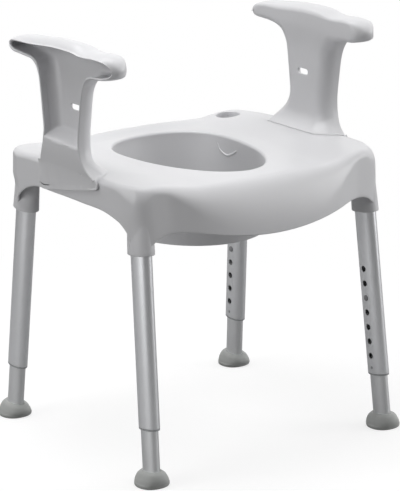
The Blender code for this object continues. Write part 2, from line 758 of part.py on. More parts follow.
def arm_skin(side):
    """The armrest's outer surface, open towards the outside."""
    rings = arm_rings()
    work = bmesh.new()
    grid = [[work.verts.new((side * x, y, z)) for x, y, z in ring] for ring in rings]
    count = len(grid[0])
    for low, high in zip(grid, grid[1:]):
        for i in range(count):
            j = (i + 1) % count
            work.faces.new((low[i], low[j], high[j], high[i]))
    flat = [Vector((vert.co.y, vert.co.z)) for vert in grid[-1]]
    for height in ARM_WEB_ROWS_MM:
        flat += [Vector((y * MM, DECK_HEIGHT + height * MM)) for y in ARM_WEB_COLUMNS_MM]
    edges = [(i, (i + 1) % count) for i in range(count)]
    points, _, faces, _, _, _ = geometry.delaunay_2d_cdt(flat, edges, [], 1, 1e-7)
    web = grid[-1] + [
        work.verts.new((side * arm_web(point.y), point.x, point.y)) for point in points[count:]
    ]
    for face in faces:
        work.faces.new([web[i] for i in face])
    bmesh.ops.recalc_face_normals(work, faces=work.faces)
    innermost = min(work.faces, key=lambda face: side * face.calc_center_median().x)
    if innermost.normal.x * side > 0.0:
        bmesh.ops.reverse_faces(work, faces=work.faces)
    return finish_mesh("arm_skin", work, recalculate=False)


def arm_plug(side):
    """The block that closes the armrest's channel below the shelf.

    It follows the middle of the skin's wall. Its ends are strips from the rear half of the
    outline to the front half.
    """
    rows = arm_outline()
    inward = arm_inward(rows)
    rings = arm_rings()
    order = list(range(-ARM_BASE_POINTS, ARM_BASE_POINTS + 1))
    work = bmesh.new()
    grid = []
    for k, ring in enumerate(rings):
        step = max(k - len(rings) + 1 + ARM_ROUND_STEPS, 0)
        turn = math.radians(90.0 * step / ARM_ROUND_STEPS)
        sink = ARM_WALL / 2
        verts = []
        for i in order:
            x, y, z = ring[i]
            x += sink * math.sin(turn) - (GAP if k == 0 else 0.0)
            y += inward[i][0] * sink * math.cos(turn)
            z += inward[i][1] * sink * math.cos(turn)
            if abs(i) == ARM_BASE_POINTS:
                z = SHELF_FRONT + (SHELF_BACK - SHELF_FRONT) * k / (len(rings) - 1)
            verts.append(work.verts.new((side * x, y, z)))
        grid.append(verts)
    count = len(order)
    for low, high in zip(grid, grid[1:]):
        for i in range(count):
            j = (i + 1) % count
            work.faces.new((low[i], low[j], high[j], high[i]))
    for ring in (grid[0], grid[-1]):
        for i in range(ARM_BASE_POINTS):
            j = count - 1 - i
            corners = [ring[i], ring[i + 1], ring[j - 1], ring[j]]
            work.faces.new(corners if i + 1 != j - 1 else [ring[i], ring[i + 1], ring[j]])
    return finish_mesh("arm_plug", work)


def seat_body_tool(name):
    """The seat's outer form as one solid, a gap larger, which the armrests are cut by."""
    columns = seat_columns(GAP)
    first = len(GUARD_STEPS) + len(RIM_ANGLES)
    rings = []
    for j in range(first, len(columns[0])):
        half = [column[j] for column in columns]
        mirrored = [(-x, y, z) for x, y, z in half[-2:0:-1]]
        rings.append(half + mirrored)
    return add_tool(name, loft(name, rings))


def stadium(length, height, steps=6):
    """Points of a slot with round ends, in the (y, z) plane."""
    radius = height / 2
    points = []
    for end in (1, -1):
        for i in range(steps + 1):
            turn = math.pi * (i / steps - end / 2)
            y = end * (length / 2 - radius) + radius * math.cos(turn)
            points.append((y, radius * math.sin(turn)))
    return points


def build_arm(name, side):
    """One armrest with its channel, shelf, slot and the cavity for the tenon."""
    arm = add_piece(name, arm_skin(side), "seat_plastic")
    solid = arm.modifiers.new("wall", "SOLIDIFY")
    solid.thickness = ARM_WALL
    solid.offset = -1.0
    boolean(arm, "UNION", add_tool(name + "_plug", arm_plug(side)))
    boolean(arm, "DIFFERENCE", seat_body_tool(name + "_seat_form"))
    reach = TENON_THICKNESS / 2 + GAP
    x = side * TENON_X
    cavity = block(
        "cavity",
        (x - reach, ARM_Y - TENON_WIDTH / 2 - GAP, TENON_ROOT - 2 * OVERCUT),
        (x + reach, ARM_Y + TENON_WIDTH / 2 + GAP, TENON_TOP + GAP),
    )
    slot = loft(
        "slot",
        [
            [(side * px, SLOT_Y + y, SLOT_Z + z) for y, z in stadium(SLOT_LENGTH, SLOT_HEIGHT)]
            for px in (ARM_WEB_X - OVERCUT, ARM_WEB_X + OVERCUT)
        ],
    )
    boolean(arm, "DIFFERENCE", add_tool(name + "_cuts", merge_meshes("cuts", [cavity, slot])))
    return arm


def tube_end():
    """Where the outer tube's lower end lies along the leg."""
    return SOCKET_MOUTH + SOCKET_DEPTH - GAP - OUTER_TUBE_LENGTH


def height_holes(side, half_width):
    """Rods that drill the row of height holes through one wide face of a tube."""
    near = -side * half_width / 2
    far = -side * (half_width + OVERCUT)
    places = range(-HOLES_BELOW_BUTTON, HOLES_ABOVE_BUTTON + 1)
    return [
        rod_along_x(
            "hole", BUTTON_RADIUS + BUTTON_PLAY, near, far, 0.0, BUTTON_HEIGHT + k * HOLE_PITCH
        )
        for k in places
    ]


def build_outer_tube(name, side, axis):
    """Outer leg tube with its height holes and the hole for the bush's lug."""
    end = tube_end()
    tube = add_piece(
        "outer_tube_" + name,
        oval_prism("outer_tube", OUTER_TUBE_HALF, end, end + OUTER_TUBE_LENGTH),
        "tube_aluminium",
        axis,
    )
    bore = oval_prism(
        "tube_bore",
        shrink(OUTER_TUBE_HALF, OUTER_TUBE_WALL),
        end - OVERCUT,
        end + OUTER_TUBE_LENGTH + OVERCUT,
    )
    boolean(tube, "DIFFERENCE", add_tool("tube_bore_" + name, bore, axis))
    holes = height_holes(side, OUTER_TUBE_HALF[0])
    near = -side * OUTER_TUBE_HALF[0] / 2
    far = -side * (OUTER_TUBE_HALF[0] + OVERCUT)
    lug = LUG_RADIUS + LUG_PLAY
    holes.append(rod_along_x("lug_hole", lug, near, far, 0.0, end + LUG_HEIGHT, 8))
    cutter = add_tool("tube_holes_" + name, merge_meshes("tube_holes", holes), axis)
    boolean(tube, "DIFFERENCE", cutter)


def build_end_bush(name, side, axis):
    """Plastic bush that lines the outer tube's lower mouth."""
    end = tube_end()
    sleeve_half = shrink(OUTER_TUBE_HALF, OUTER_TUBE_WALL + GAP)
    flange = oval_prism("flange", OUTER_TUBE_HALF, end - GAP - BUSH_FLANGE, end - GAP)
    bush = add_piece("end_bush_" + name, flange, "bush_plastic", axis)
    sleeve = oval_prism("sleeve", sleeve_half, end - BUSH_FLANGE, end + BUSH_SLEEVE)
    boolean(bush, "UNION", add_tool("bush_sleeve_" + name, sleeve, axis))
    inside = -side * (sleeve_half[0] - LUG_ROOT)
    outside = -side * (OUTER_TUBE_HALF[0] - GAP)
    lug = rod_along_x("lug", LUG_RADIUS, inside, outside, 0.0, end + LUG_HEIGHT, 8)
    boolean(bush, "UNION", add_tool("bush_lug_" + name, lug, axis))
    hole = (INNER_TUBE_HALF[0] + GAP, INNER_TUBE_HALF[1] + GAP)
    cut = oval_prism("bush_bore", hole, end - OVERCUT, end + BUSH_SLEEVE + OVERCUT)
    boolean(bush, "DIFFERENCE", add_tool("bush_bore_" + name, cut, axis))


def build_inner_tube(name, side, axis):
    """Inner leg tube, drilled with the same row of holes; the button sits in one of them."""
    low = FOOT_SOLE + GAP
    tube = add_piece(
        "inner_tube_" + name,
        oval_prism("inner_tube", INNER_TUBE_HALF, low, INNER_TUBE_TOP),
        "inner_aluminium",
        axis,
    )
    bore = oval_prism(
        "inner_bore",
        shrink(INNER_TUBE_HALF, INNER_TUBE_WALL),
        low - OVERCUT,
        INNER_TUBE_TOP + OVERCUT,
    )
    boolean(tube, "DIFFERENCE", add_tool("inner_bore_" + name, bore, axis))
    holes = merge_meshes("inner_holes", height_holes(side, INNER_TUBE_HALF[0]))
    boolean(tube, "DIFFERENCE", add_tool("inner_holes_" + name, holes, axis))


def build_guide_ring(name, axis):
    """Plastic ring plugged into the inner tube's top, which guides it in the outer tube."""
    low = INNER_TUBE_TOP + GAP
    flange_half = shrink(OUTER_TUBE_HALF, OUTER_TUBE_WALL + GAP)
    ring = add_piece(
        "guide_ring_" + name,
        oval_prism("guide_ring", flange_half, low, low + RING_FLANGE),
        "bush_plastic",
        axis,
    )
    plug_half = shrink(INNER_TUBE_HALF, INNER_TUBE_WALL + GAP)
    plug = oval_prism("plug", plug_half, low - RING_PLUG, low + RING_FLANGE / 2)
    boolean(ring, "UNION", add_tool("ring_plug_" + name, plug, axis))
    hole_half = shrink(plug_half, RING_WALL)
    hole = oval_prism("ring_bore", hole_half, low - RING_PLUG - OVERCUT, low + RING_FLANGE + OVERCUT)
    boolean(ring, "DIFFERENCE", add_tool("ring_bore_" + name, hole, axis))


def bore_reach(y):
    """How far the inner tube's bore reaches across, at a distance along its long axis."""
    half = shrink(INNER_TUBE_HALF, INNER_TUBE_WALL)
    return half[0] * math.sqrt(1.0 - (y / half[1]) ** 2)


def shoulder_seat():
    """Where the button's shoulder rests against the inner tube's bore."""
    return bore_reach(BUTTON_SHOULDER_RADIUS) - GAP


def build_button(name, side, axis):
    """Push button: a shoulder inside the inner tube, a stem through both walls, a low dome."""
    top = OUTER_TUBE_HALF[0] + BUTTON_PROUD
    profile = [(0.0, top)]
    for angle in (50.0, 0.0):
        turn = math.radians(angle)
        drop = BUTTON_PROUD * (1.0 - math.sin(turn))
        profile.append((BUTTON_RADIUS * math.cos(turn), top - drop))
    shoulder = shoulder_seat()
    profile.append((BUTTON_RADIUS, shoulder))
    profile.append((BUTTON_SHOULDER_RADIUS, shoulder))
    profile.append((BUTTON_SHOULDER_RADIUS, shoulder - BUTTON_SHOULDER))
    profile.append((0.0, shoulder - BUTTON_SHOULDER))
    work = bmesh.new()
    verts = [work.verts.new((r, 0.0, z)) for r, z in profile]
    for a, b in zip(verts, verts[1:]):
        work.edges.new((a, b))
    mesh = bpy.data.meshes.new("button")
    work.to_mesh(mesh)
    work.free()
    button = add_piece("push_button_" + name, mesh, "button_plastic", axis)
    screw = button.modifiers.new("turn", "SCREW")
    screw.steps = 14
    screw.render_steps = 14
    screw.use_merge_vertices = True
    screw.merge_threshold = 0.00001
    screw.use_smooth_shade = True
    button.location = (0.0, 0.0, BUTTON_HEIGHT)
    button.rotation_euler = (0.0, -side * math.pi / 2, 0.0)


def build_clip(name, side, axis):
    """Bent spring strip that rests on the far wall and pushes the button out."""
    near = shoulder_seat() - BUTTON_SHOULDER - GAP - CLIP_THICKNESS / 2
    far = -(bore_reach(CLIP_WIDTH / 2) - GAP - CLIP_THICKNESS / 2)
    low = BUTTON_HEIGHT - CLIP_BELOW
    high = BUTTON_HEIGHT + CLIP_ABOVE
    path = [(near, high), (near, low + 4 * CLIP_BEND)]
    for angle in range(0, 181, 30):
        turn = math.radians(angle)
        path.append((CLIP_BEND * math.cos(turn), low + CLIP_BEND - CLIP_BEND * math.sin(turn)))
    path += [(far + CLIP_BEND / 2, low + 6 * CLIP_BEND), (far, high - CLIP_BEND)]
    left = []
    right = []
    for i, (x, z) in enumerate(path):
        before = path[max(i - 1, 0)]
        after = path[min(i + 1, len(path) - 1)]
        along = Vector((after[0] - before[0], after[1] - before[1])).normalized()
        left.append((x - along.y * CLIP_THICKNESS / 2, z + along.x * CLIP_THICKNESS / 2))
        right.append((x + along.y * CLIP_THICKNESS / 2, z - along.x * CLIP_THICKNESS / 2))
    outline = left + right[::-1]
    curve = bpy.data.curves.new("clip", "CURVE")
    curve.dimensions = "2D"
    curve.fill_mode = "BOTH"
    curve.extrude = CLIP_WIDTH / 2
    spline = curve.splines.new("POLY")
    spline.points.add(len(outline) - 1)
    for point, (x, z) in zip(spline.points, outline):
        point.co = (-side * x, z, 0.0, 1.0)
    spline.use_cyclic_u = True
    clip = bpy.data.objects.new("spring_clip_" + name, curve)
    collection("toilet_seat_raiser").objects.link(clip)
    curve.materials.append(material("spring_steel"))
    clip.rotation_euler = (math.pi / 2, 0.0, 0.0)
    clip.parent = axis


def build_foot(name, side, end, axis):
    """Rubber foot: flat on the floor, wider across at its base, its rim square to the leg."""
    leg = Leg(side, end)
    rim = (
        INNER_TUBE_HALF[0] + GAP + FOOT_RIM_WALL,
        INNER_TUBE_HALF[1] + GAP + FOOT_RIM_WALL,
    )
    rings = []
    for height, share, square in FOOT_PROFILE:
        rise = height / FOOT_HEIGHT
        bulge = FOOT_SIDE_BULGE * math.sin(math.pi * rise)
        half_x = rim[0] + (FOOT_BASE_HALF[0] - rim[0]) * share
        half_y = rim[1] + (FOOT_BASE_HALF[1] - rim[1]) * share + bulge
        level = leg.at(0.0, 0.0, height).z
        ring = []
        for i in range(OVAL_STEPS):
            angle = 2.0 * math.pi * i / OVAL_STEPS
            point = leg.at(half_x * math.cos(angle), half_y * math.sin(angle), height)
            point.z = level + (point.z - level) * square
            ring.append(leg.frame.inverted() @ point)
        rings.append(ring)
    foot = add_piece("foot_" + name, loft("foot", rings), "foot_rubber", axis)
    pocket_half = (INNER_TUBE_HALF[0] + GAP, INNER_TUBE_HALF[1] + GAP)
    pocket = oval_prism("foot_pocket", pocket_half, FOOT_SOLE, FOOT_HEIGHT + OVERCUT)
    boolean(foot, "DIFFERENCE", add_tool("foot_pocket_" + name, pocket, axis))


def build_leg(name, side, end):
    """One telescopic leg, placed by an empty on its axis at the floor."""
    axis = bpy.data.objects.new("leg_axis_" + name, None)
    collection("toilet_seat_raiser").objects.link(axis)
    axis.matrix_world = Leg(side, end).frame
    build_outer_tube(name, side, axis)
    build_end_bush(name, side, axis)
    build_inner_tube(name, side, axis)
    build_guide_ring(name, axis)
    build_button(name, side, axis)
    build_clip(name, side, axis)
    build_foot(name, side, end, axis)


def main():
    clear_scene()
    build_seat()
    build_arm("armrest_left", -1)
    build_arm("armrest_right", 1)
    for name, side, end in CORNERS:
        build_leg(name, side, end)


main()
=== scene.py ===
import math

import bmesh
import bpy
import numpy as np
from mathutils import Matrix, Vector, geometry


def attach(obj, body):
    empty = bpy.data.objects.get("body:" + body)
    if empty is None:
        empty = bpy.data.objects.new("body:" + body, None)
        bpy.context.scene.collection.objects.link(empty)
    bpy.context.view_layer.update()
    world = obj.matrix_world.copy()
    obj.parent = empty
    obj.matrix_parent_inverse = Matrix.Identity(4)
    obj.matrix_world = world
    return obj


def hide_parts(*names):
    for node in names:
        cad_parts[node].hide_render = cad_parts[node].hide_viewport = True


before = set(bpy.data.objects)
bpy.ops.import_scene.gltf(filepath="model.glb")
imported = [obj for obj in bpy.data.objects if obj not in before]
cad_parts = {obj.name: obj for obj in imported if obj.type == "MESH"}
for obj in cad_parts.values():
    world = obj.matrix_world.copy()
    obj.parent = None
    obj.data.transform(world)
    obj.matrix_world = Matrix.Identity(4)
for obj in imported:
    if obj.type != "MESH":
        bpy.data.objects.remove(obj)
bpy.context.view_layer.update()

# Shapes are worked out in millimetres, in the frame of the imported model: +Z up, the front
# of the seat towards -Y, the floor at 0.
MM = 0.001
# Columns of a closed skin between each two rows of its outline.
COLUMNS_PER_ROW = 8

# Right half of the seat's outline at 430 mm, from the middle of the front to the middle of
# the rear: x, y, height of the skirt's lower edge, shoulder radius, share of socket cover.
SEAT_OUTLINE = [
    (0.0, -234.6, 386.0, 38.0, 0.0),
    (50.0, -233.3, 388.3, 37.0, 0.0),
    (100.0, -227.8, 394.6, 32.0, 0.0),
    (138.0, -218.5, 401.0, 26.0, 0.0),
    (166.0, -207.5, 405.0, 19.0, 0.0),
    (186.0, -200.5, 405.5, 13.0, 0.0),
    (202.0, -197.5, 403.0, 12.0, 0.0),
    (212.0, -195.8, 398.0, 12.5, 0.0),
    (219.0, -194.4, 392.0, 14.0, 0.15),
    (230.0, -190.3, 383.0, 16.0, 0.9),
    (240.4, -179.4, 381.3, 16.0, 1.0),
    (243.8, -171.2, 388.0, 15.0, 0.8),
    (245.7, -163.4, 405.0, 14.0, 0.2),
    (248.5, -150.0, 418.5, 12.0, 0.0),
    (250.3, -130.0, 426.0, 10.0, 0.0),
    (250.5, -101.0, 431.0, 10.0, 0.0),
    (250.5, -50.0, 431.5, 10.0, 0.0),
    (250.5, 0.0, 432.0, 10.0, 0.0),
    (250.5, 50.0, 431.5, 10.0, 0.0),
    (250.5, 97.0, 431.0, 10.0, 0.0),
    (250.4, 125.0, 423.0, 10.0, 0.0),
    (250.0, 145.0, 411.0, 10.0, 0.0),
    (248.5, 160.0, 399.0, 11.0, 0.2),
    (245.0, 172.0, 386.0, 10.0, 0.8),
    (239.0, 187.0, 381.3, 9.0, 1.0),
    (229.0, 199.5, 381.3, 9.0, 1.0),
    (214.0, 207.5, 384.0, 9.0, 0.9),
    (203.0, 208.6, 391.0, 9.0, 0.2),
    (197.0, 208.2, 399.0, 9.0, 0.0),
    (180.0, 206.5, 413.0, 9.0, 0.0),
    (158.0, 203.8, 425.0, 10.0, 0.0),
    (125.0, 201.0, 431.0, 12.0, 0.0),
    (70.0, 197.5, 431.0, 12.0, 0.0),
    (0.0, 196.0, 431.0, 12.0, 0.0),
]
SEAT_WALL = 3.5
DECK = 470.0
OUTLINE_LEVEL = 430.0
RIM_ROUND, DECK_EDGE = 5.0, 2.0
# The deck rises at the sides, less so towards the rear, and at the middle of the rear.
DECK_RISE = 9.5
DECK_SIDE_X = (120.0, 216.0)
DECK_FADE, DECK_FADE_Y = 0.45, (80.0, 190.0)
DECK_REAR_Y, DECK_REAR_X = (148.0, 190.0), (15.0, 185.0)
# The shoulder is taller than its radius in the middle of the front and at its corners.
FRONT_MIDDLE_X = (90.0, 200.0)
FRONT_CORNER, FRONT_CORNER_X, FRONT_CORNER_Y = 0.8, (208.0, 234.0), (135.0, 170.0)
# Heights at which the front wall starts to turn into a socket's oval and has done so, and
# what is added to them at the rear.
COVER_START, COVER_START_REAR = 440.0, -4.0
COVER_DONE, COVER_DONE_REAR = 384.0, 22.0
COVER_REAR_Y = (120.0, 160.0)
GUARD_ROWS, RIM_ROWS, DECK_ROWS, SHOULDER_ROWS, WALL_ROWS = 14, 9, 14, 12, 17
GUARD_RADIUS, GUARD_Y, GUARD_BOTTOM, GUARD_BELLY = 113.5, -2.4, 342.0, 1.12
OPENING_Y, OPENING_HALF_WIDTH, OPENING_REAR, OPENING_FRONT = 47.6, 106.6, 100.8, 199.4
OPENING_REAR_POWER, OPENING_FRONT_POWER = 2.35, 1.95
CUP_X, CUP_Y, CUP_RADIUS, CUP_WALL, CUP_FLOOR = 192.0, 170.6, 21.0, 3.0, 454.0
CUP_BASE, CUP_ROUND, CUP_TOP, CUP_LIP, CUP_PROUD = 451.0, 1.5, 468.2, 1.8, 0.35
# Heights between which the cup's top begins to follow the deck.
CUP_CARRY_Z = (456.0, 466.0)
# The slit in the cup's wall, in metres: its middle's height and its size.
SLIT_Z, SLIT_SIZE = 0.4598, (0.0016, 0.009, 0.0096)
SLIT_TURN = math.radians(18.0)
TENON_X, TENON_HALF, TENON_POWER = 240.0, (6.0, 40.0), 7.0
TENON_ROOT, TENON_TOP, TENON_ROUND = 475.0, 519.5, 2.5
# The rib on the guard: its path, its half width, and its height as a share of that.
RIB_PATH = [
    (102.9, 78.6, 455.2),
    (103.2, 72.5, 444.7),
    (104.5, 62.4, 438.6),
    (105.7, 51.7, 437.3),
    (106.6, 39.2, 442.2),
    (106.5, 27.1, 449.6),
]
RIB_SIZE, RIB_HEIGHT = 2.2, 0.7

# Legs: where each axis meets the floor, and how far it leans in.
LEG_FOOT_X = {"front": 236.8, "rear": 232.6}
LEG_FOOT_Y = 211.0
LEG_LEAN_X = 0.031
LEG_LEAN_Y = {"front": 0.106, "rear": 0.093}
PLAY = 0.3
OUTER_HALF, OUTER_WALL = (13.8, 22.4), 1.3
INNER_HALF, INNER_WALL = (11.2, 18.6), 1.5
SOCKET_HALF, SOCKET_TAPER, SOCKET_MOUTH, SOCKET_TOP = (18.9, 27.5), 2.5, 372.3, 452.0
SOCKET_SUNK, SOCKET_LIP = 0.5, 1.4
TUBE_END, TUBE_TOP, TUBE_SOFT = 93.2, 449.0, 0.4
INNER_LOW, INNER_TOP = 7.3, 302.0
BUTTON_HEIGHT, BUTTON_RADIUS, BUTTON_PROUD, BUTTON_ROUND = 224.3, 4.75, 1.9, 1.1
# The button's shoulder: its radius, and its two faces' distances from the leg's axis.
BUTTON_SHOULDER, BUTTON_SHOULDER_AT = 6.0, (9.2, 8.0)
HOLE_PITCH, HOLE_RADIUS = 25.0, 5.25
HOLE_HEIGHTS = [BUTTON_HEIGHT + HOLE_PITCH * k for k in range(-4, 3)]
DRILL_DEPTH, DRILL_OUT = 14.0, 2.0
BUSH_FLANGE, BUSH_SLEEVE, BUSH_DEPTH, BUSH_ROUND = 2.5, 1.6, 18.0, 0.9
LUG_HEIGHT, LUG_HOLE, LUG_SUNK = 10.5, 2.6, 0.4
LUG_PROFILE = [(0.0, 0.0), (2.0, 0.0), (2.2, -0.3), (2.2, -3.0), (0.0, -3.0)]
FOOT_BASE_HALF, FOOT_RIM_HALF, FOOT_HEIGHT = (27.6, 25.7), (14.1, 21.5), 23.5
FOOT_BULGE, FOOT_SQUARE, FOOT_WALL, FOOT_SOLE = 4.0, 0.3, 2.6, 7.0
# The foot's rings: height, share of the base's size, how square the ring is to the leg, and
# how much it bulges to the sides.
FOOT_ROWS = [
    (0.0, 0.90, 0.0, 0.0),
    (0.5, 0.97, 0.0, 0.0),
    (2.0, 1.0, 0.0, 0.1),
    (4.4, 1.0, 0.05, 0.3),
    (5.8, 0.955, 0.1, 0.5),
    (7.0, 0.90, 0.2, 0.7),
    (11.0, 0.78, 0.45, 1.0),
    (15.0, 0.62, 0.7, 1.0),
    (19.0, 0.45, 0.9, 0.7),
    (21.6, 0.24, 1.0, 0.25),
    (22.9, 0.06, 1.0, 0.1),
    (FOOT_HEIGHT, -0.04, 1.0, 0.0),
]

# The armrest's edge in the side view: y, z, x of the outer edge, x of the crest, rounding
# into the inner face, crown.
ARM_OUTLINE = [
    (5.0, 446.2, 252.6, 252.0, 5.0, 0.0),
    (42.0, 440.4, 252.6, 252.0, 3.0, 0.0),
    (74.0, 435.6, 252.6, 252.0, 2.5, 0.0),
    (81.5, 439.0, 252.6, 252.0, 2.5, 0.0),
    (81.4, 448.0, 252.6, 252.0, 4.5, 0.0),
    (80.0, 461.0, 252.6, 252.0, 5.0, 0.0),
    (78.5, 473.0, 252.8, 251.5, 4.5, 0.0),
    (76.5, 484.0, 253.8, 251.5, 5.0, 0.0),
    (72.5, 493.0, 255.0, 252.0, 7.0, 0.0),
    (66.0, 503.0, 257.5, 252.5, 12.0, 0.0),
    (58.8, 515.0, 260.0, 253.0, 19.0, 0.0),
    (54.6, 527.0, 261.3, 253.0, 24.0, 0.0),
    (52.8, 535.0, 261.5, 253.0, 26.0, 0.0),
    (54.7, 556.0, 261.5, 253.0, 26.0, 0.0),
    (58.0, 582.0, 261.5, 253.0, 25.0, 0.0),
    (61.5, 608.0, 261.5, 253.0, 24.0, 0.0),
    (64.5, 625.0, 262.0, 253.0, 21.0, 0.0),
    (70.5, 636.5, 263.0, 252.5, 17.0, 1.0),
    (80.0, 643.5, 264.0, 252.0, 10.0, 2.0),
    (96.0, 647.0, 265.0, 251.0, 10.0, 1.0),
    (118.0, 649.0, 266.0, 250.0, 8.0, 1.0),
    (136.0, 650.6, 266.5, 250.0, 6.0, 1.0),
    (146.5, 653.0, 265.5, 249.0, 4.5, 1.0),
    (153.0, 656.5, 264.5, 249.0, 4.5, 1.5),
    (155.5, 662.0, 264.0, 249.0, 4.5, 2.0),
    (151.0, 668.0, 266.0, 249.0, 4.5, 2.0),
    (140.0, 673.0, 267.5, 249.0, 5.5, 3.0),
    (125.0, 677.2, 270.0, 250.0, 6.0, 5.0),
    (104.0, 680.5, 270.0, 250.0, 6.0, 8.0),
    (78.0, 683.0, 270.0, 250.0, 8.5, 10.0),
    (45.0, 686.5, 270.0, 250.0, 10.0, 11.0),
    (8.0, 689.2, 270.0, 250.0, 10.0, 11.0),
    (-25.0, 689.5, 270.0, 250.0, 10.0, 11.0),
    (-48.0, 688.0, 270.0, 250.0, 10.0, 10.0),
    (-66.0, 683.6, 270.0, 250.0, 7.5, 8.0),
    (-84.0, 681.8, 270.0, 250.0, 5.5, 6.0),
    (-104.0, 683.4, 270.0, 250.0, 6.0, 6.0),
    (-122.0, 683.4, 270.0, 250.0, 6.5, 6.0),
    (-136.0, 680.2, 269.0, 250.0, 6.0, 4.0),
    (-147.5, 672.5, 264.5, 249.0, 4.5, 2.0),
    (-152.5, 662.5, 259.5, 248.0, 4.5, 2.0),
    (-150.0, 653.0, 261.5, 248.0, 4.5, 1.5),
    (-140.0, 647.2, 265.5, 249.0, 6.0, 1.0),
    (-122.0, 644.0, 266.0, 250.0, 8.0, 1.0),
    (-104.0, 642.4, 265.0, 251.0, 10.0, 1.0),
    (-90.0, 640.2, 264.0, 252.0, 10.0, 2.0),
    (-76.5, 634.5, 263.0, 252.5, 17.0, 1.0),
    (-68.0, 624.0, 262.0, 253.0, 21.0, 0.0),
    (-62.0, 608.0, 261.5, 253.0, 24.0, 0.0),
    (-57.0, 582.0, 261.5, 253.0, 25.0, 0.0),
    (-53.0, 556.0, 261.5, 253.0, 26.0, 0.0),
    (-50.7, 535.0, 261.5, 253.0, 26.0, 0.0),
    (-51.5, 517.0, 261.5, 253.0, 26.0, 0.0),
    (-55.3, 503.0, 260.2, 252.5, 25.0, 0.0),
    (-62.3, 491.0, 258.0, 252.0, 19.0, 0.0),
    (-73.3, 481.5, 255.4, 251.5, 10.0, 0.0),
    (-82.8, 474.5, 253.2, 251.5, 3.0, 0.0),
    (-89.0, 466.4, 252.6, 252.0, 2.0, 0.0),
    (-82.0, 463.0, 252.6, 252.0, 2.0, 0.0),
    (-62.0, 459.2, 252.6, 252.0, 3.0, 0.0),
    (-34.0, 453.8, 252.6, 252.0, 5.0, 0.0),
]
ARM_WALL = 4.0
ARM_Y = 1.1
CROWN_ROWS, TURN_ROWS = 9, 13
CROWN_INNER, ARM_LEAST = 0.4, 2.0
# The inner face, its toe at the seat and its bulge at the grip.
WEB_X, TOE, TOE_TOP, TOE_RUN, TOE_POWER = 227.0, 20.0, 510.0, 30.0, 2.5
BULGE, BULGE_Z = 3.5, (612.0, 660.0)
# The grip seen from above: its middle, its straight half length and its half width.
GRIP_X, GRIP_Y, GRIP_STRAIGHT, GRIP_HALF, GRIP_LIMIT = 247.0, 2.8, 128.0, 24.5, 0.98
TIP_START, TIP_RUN, TIP_LEAST, TIP_FADE_Z = 44.0, 50.0, 0.3, (500.0, 560.0)
# The flush panel below the shelf: height, and x there.
PANEL = [
    (435.0, 252.6),
    (467.0, 252.6),
    (474.5, 253.2),
    (481.5, 255.0),
    (491.0, 257.2),
    (503.0, 259.6),
    (517.0, 261.3),
    (560.0, 261.5),
]
SHELF_LOW, SHELF_LOW_TILT, SHELF_HIGH, SHELF_HIGH_TILT = 521.0, 0.03, 537.0, 0.06
PANEL_SUNK, PANEL_SUNK_Z = 0.3, (450.0, 480.0)
# The seam between armrest and seat, how much of it and how fast sunk points take up, and
# the seat's side and shoulder there.
SEAM, SEAM_SHARE, SEAM_DEPTH = 1.1, 0.8, 12.0
SEAT_SIDE_X, SIDE_SHOULDER, SIDE_SHOULDER_X = 250.7, 10.0, 239.3
SLOT_Y, SLOT_Z, SLOT_LENGTH, SLOT_HEIGHT, SLOT_STEPS = 2.6, 576.0, 27.0, 9.5, 20
# The slot's wall from face to face: how far it is grown, and how deep.
SLOT_EDGE = [
    (1.2, 0.0),
    (0.55, 0.16),
    (0.16, 0.55),
    (0.0, 1.2),
    (0.0, 2.8),
    (0.16, 3.45),
    (0.55, 3.84),
    (1.2, 4.0),
]
# The net of points on the inner face, and how far they keep from its edges.
NET_Y, NET_Z, NET_STEP, NET_CLEAR = (-160.0, 160.0), (479.0, 690.0), 3.5, 1.8

# Faint smudges on plastic: their share in its colour, and what they take off its roughness.
SMUDGE_SHADE, SMUDGE_GLOSS = 0.22, 0.07

# The world's light from the right and from all round, the side on which reflections dim,
# how squarely a direction points there, and what reflections see away from it and on it.
FILL_RIGHT, FILL_ALL = 1.6, 0.03
DIM_SIDE, DIM_SPAN, STUDIO_LEVELS = (-0.46, -0.85, -0.1), (0.15, 0.85), (0.97, 0.2)
FLOOR_SIZE, FLOOR_LEVEL, FLOOR_FADE = 14.0, -0.0002, (0.35, 1.1)
FLOOR_COLOUR, FLOOR_GLOW = (0.32, 0.32, 0.32), 0.72
# Lamps: name, place, target, size and power.
LAMPS = [
    ("top_lamp", (-0.4, 0.5, 2.6), (0.0, 0.0, 0.45), 2.0, 48.0),
    ("left_lamp", (-3.0, 0.2, 1.2), (0.0, 0.0, 0.4), 1.8, 29.0),
    ("right_lamp", (2.9, -1.9, 1.3), (0.0, 0.0, 0.4), 1.8, 38.0),
    ("front_lamp", (0.3, -1.6, 2.4), (0.0, 0.0, 0.45), 1.5, 9.0),
]

LEG_NAMES = [
    ("front_left", -1, "front"),
    ("front_right", 1, "front"),
    ("rear_left", -1, "rear"),
    ("rear_right", 1, "rear"),
]


def smoothstep(value, start, end):
    """0 before the start, 1 after the end, and 3t^2 - 2t^3 between them."""
    t = np.clip((value - start) / (end - start), 0.0, 1.0)
    return t * t * (3.0 - 2.0 * t)


def unit(vectors):
    """Vectors divided by their lengths."""
    return vectors / np.maximum(np.linalg.norm(vectors, axis=-1, keepdims=True), 1e-12)


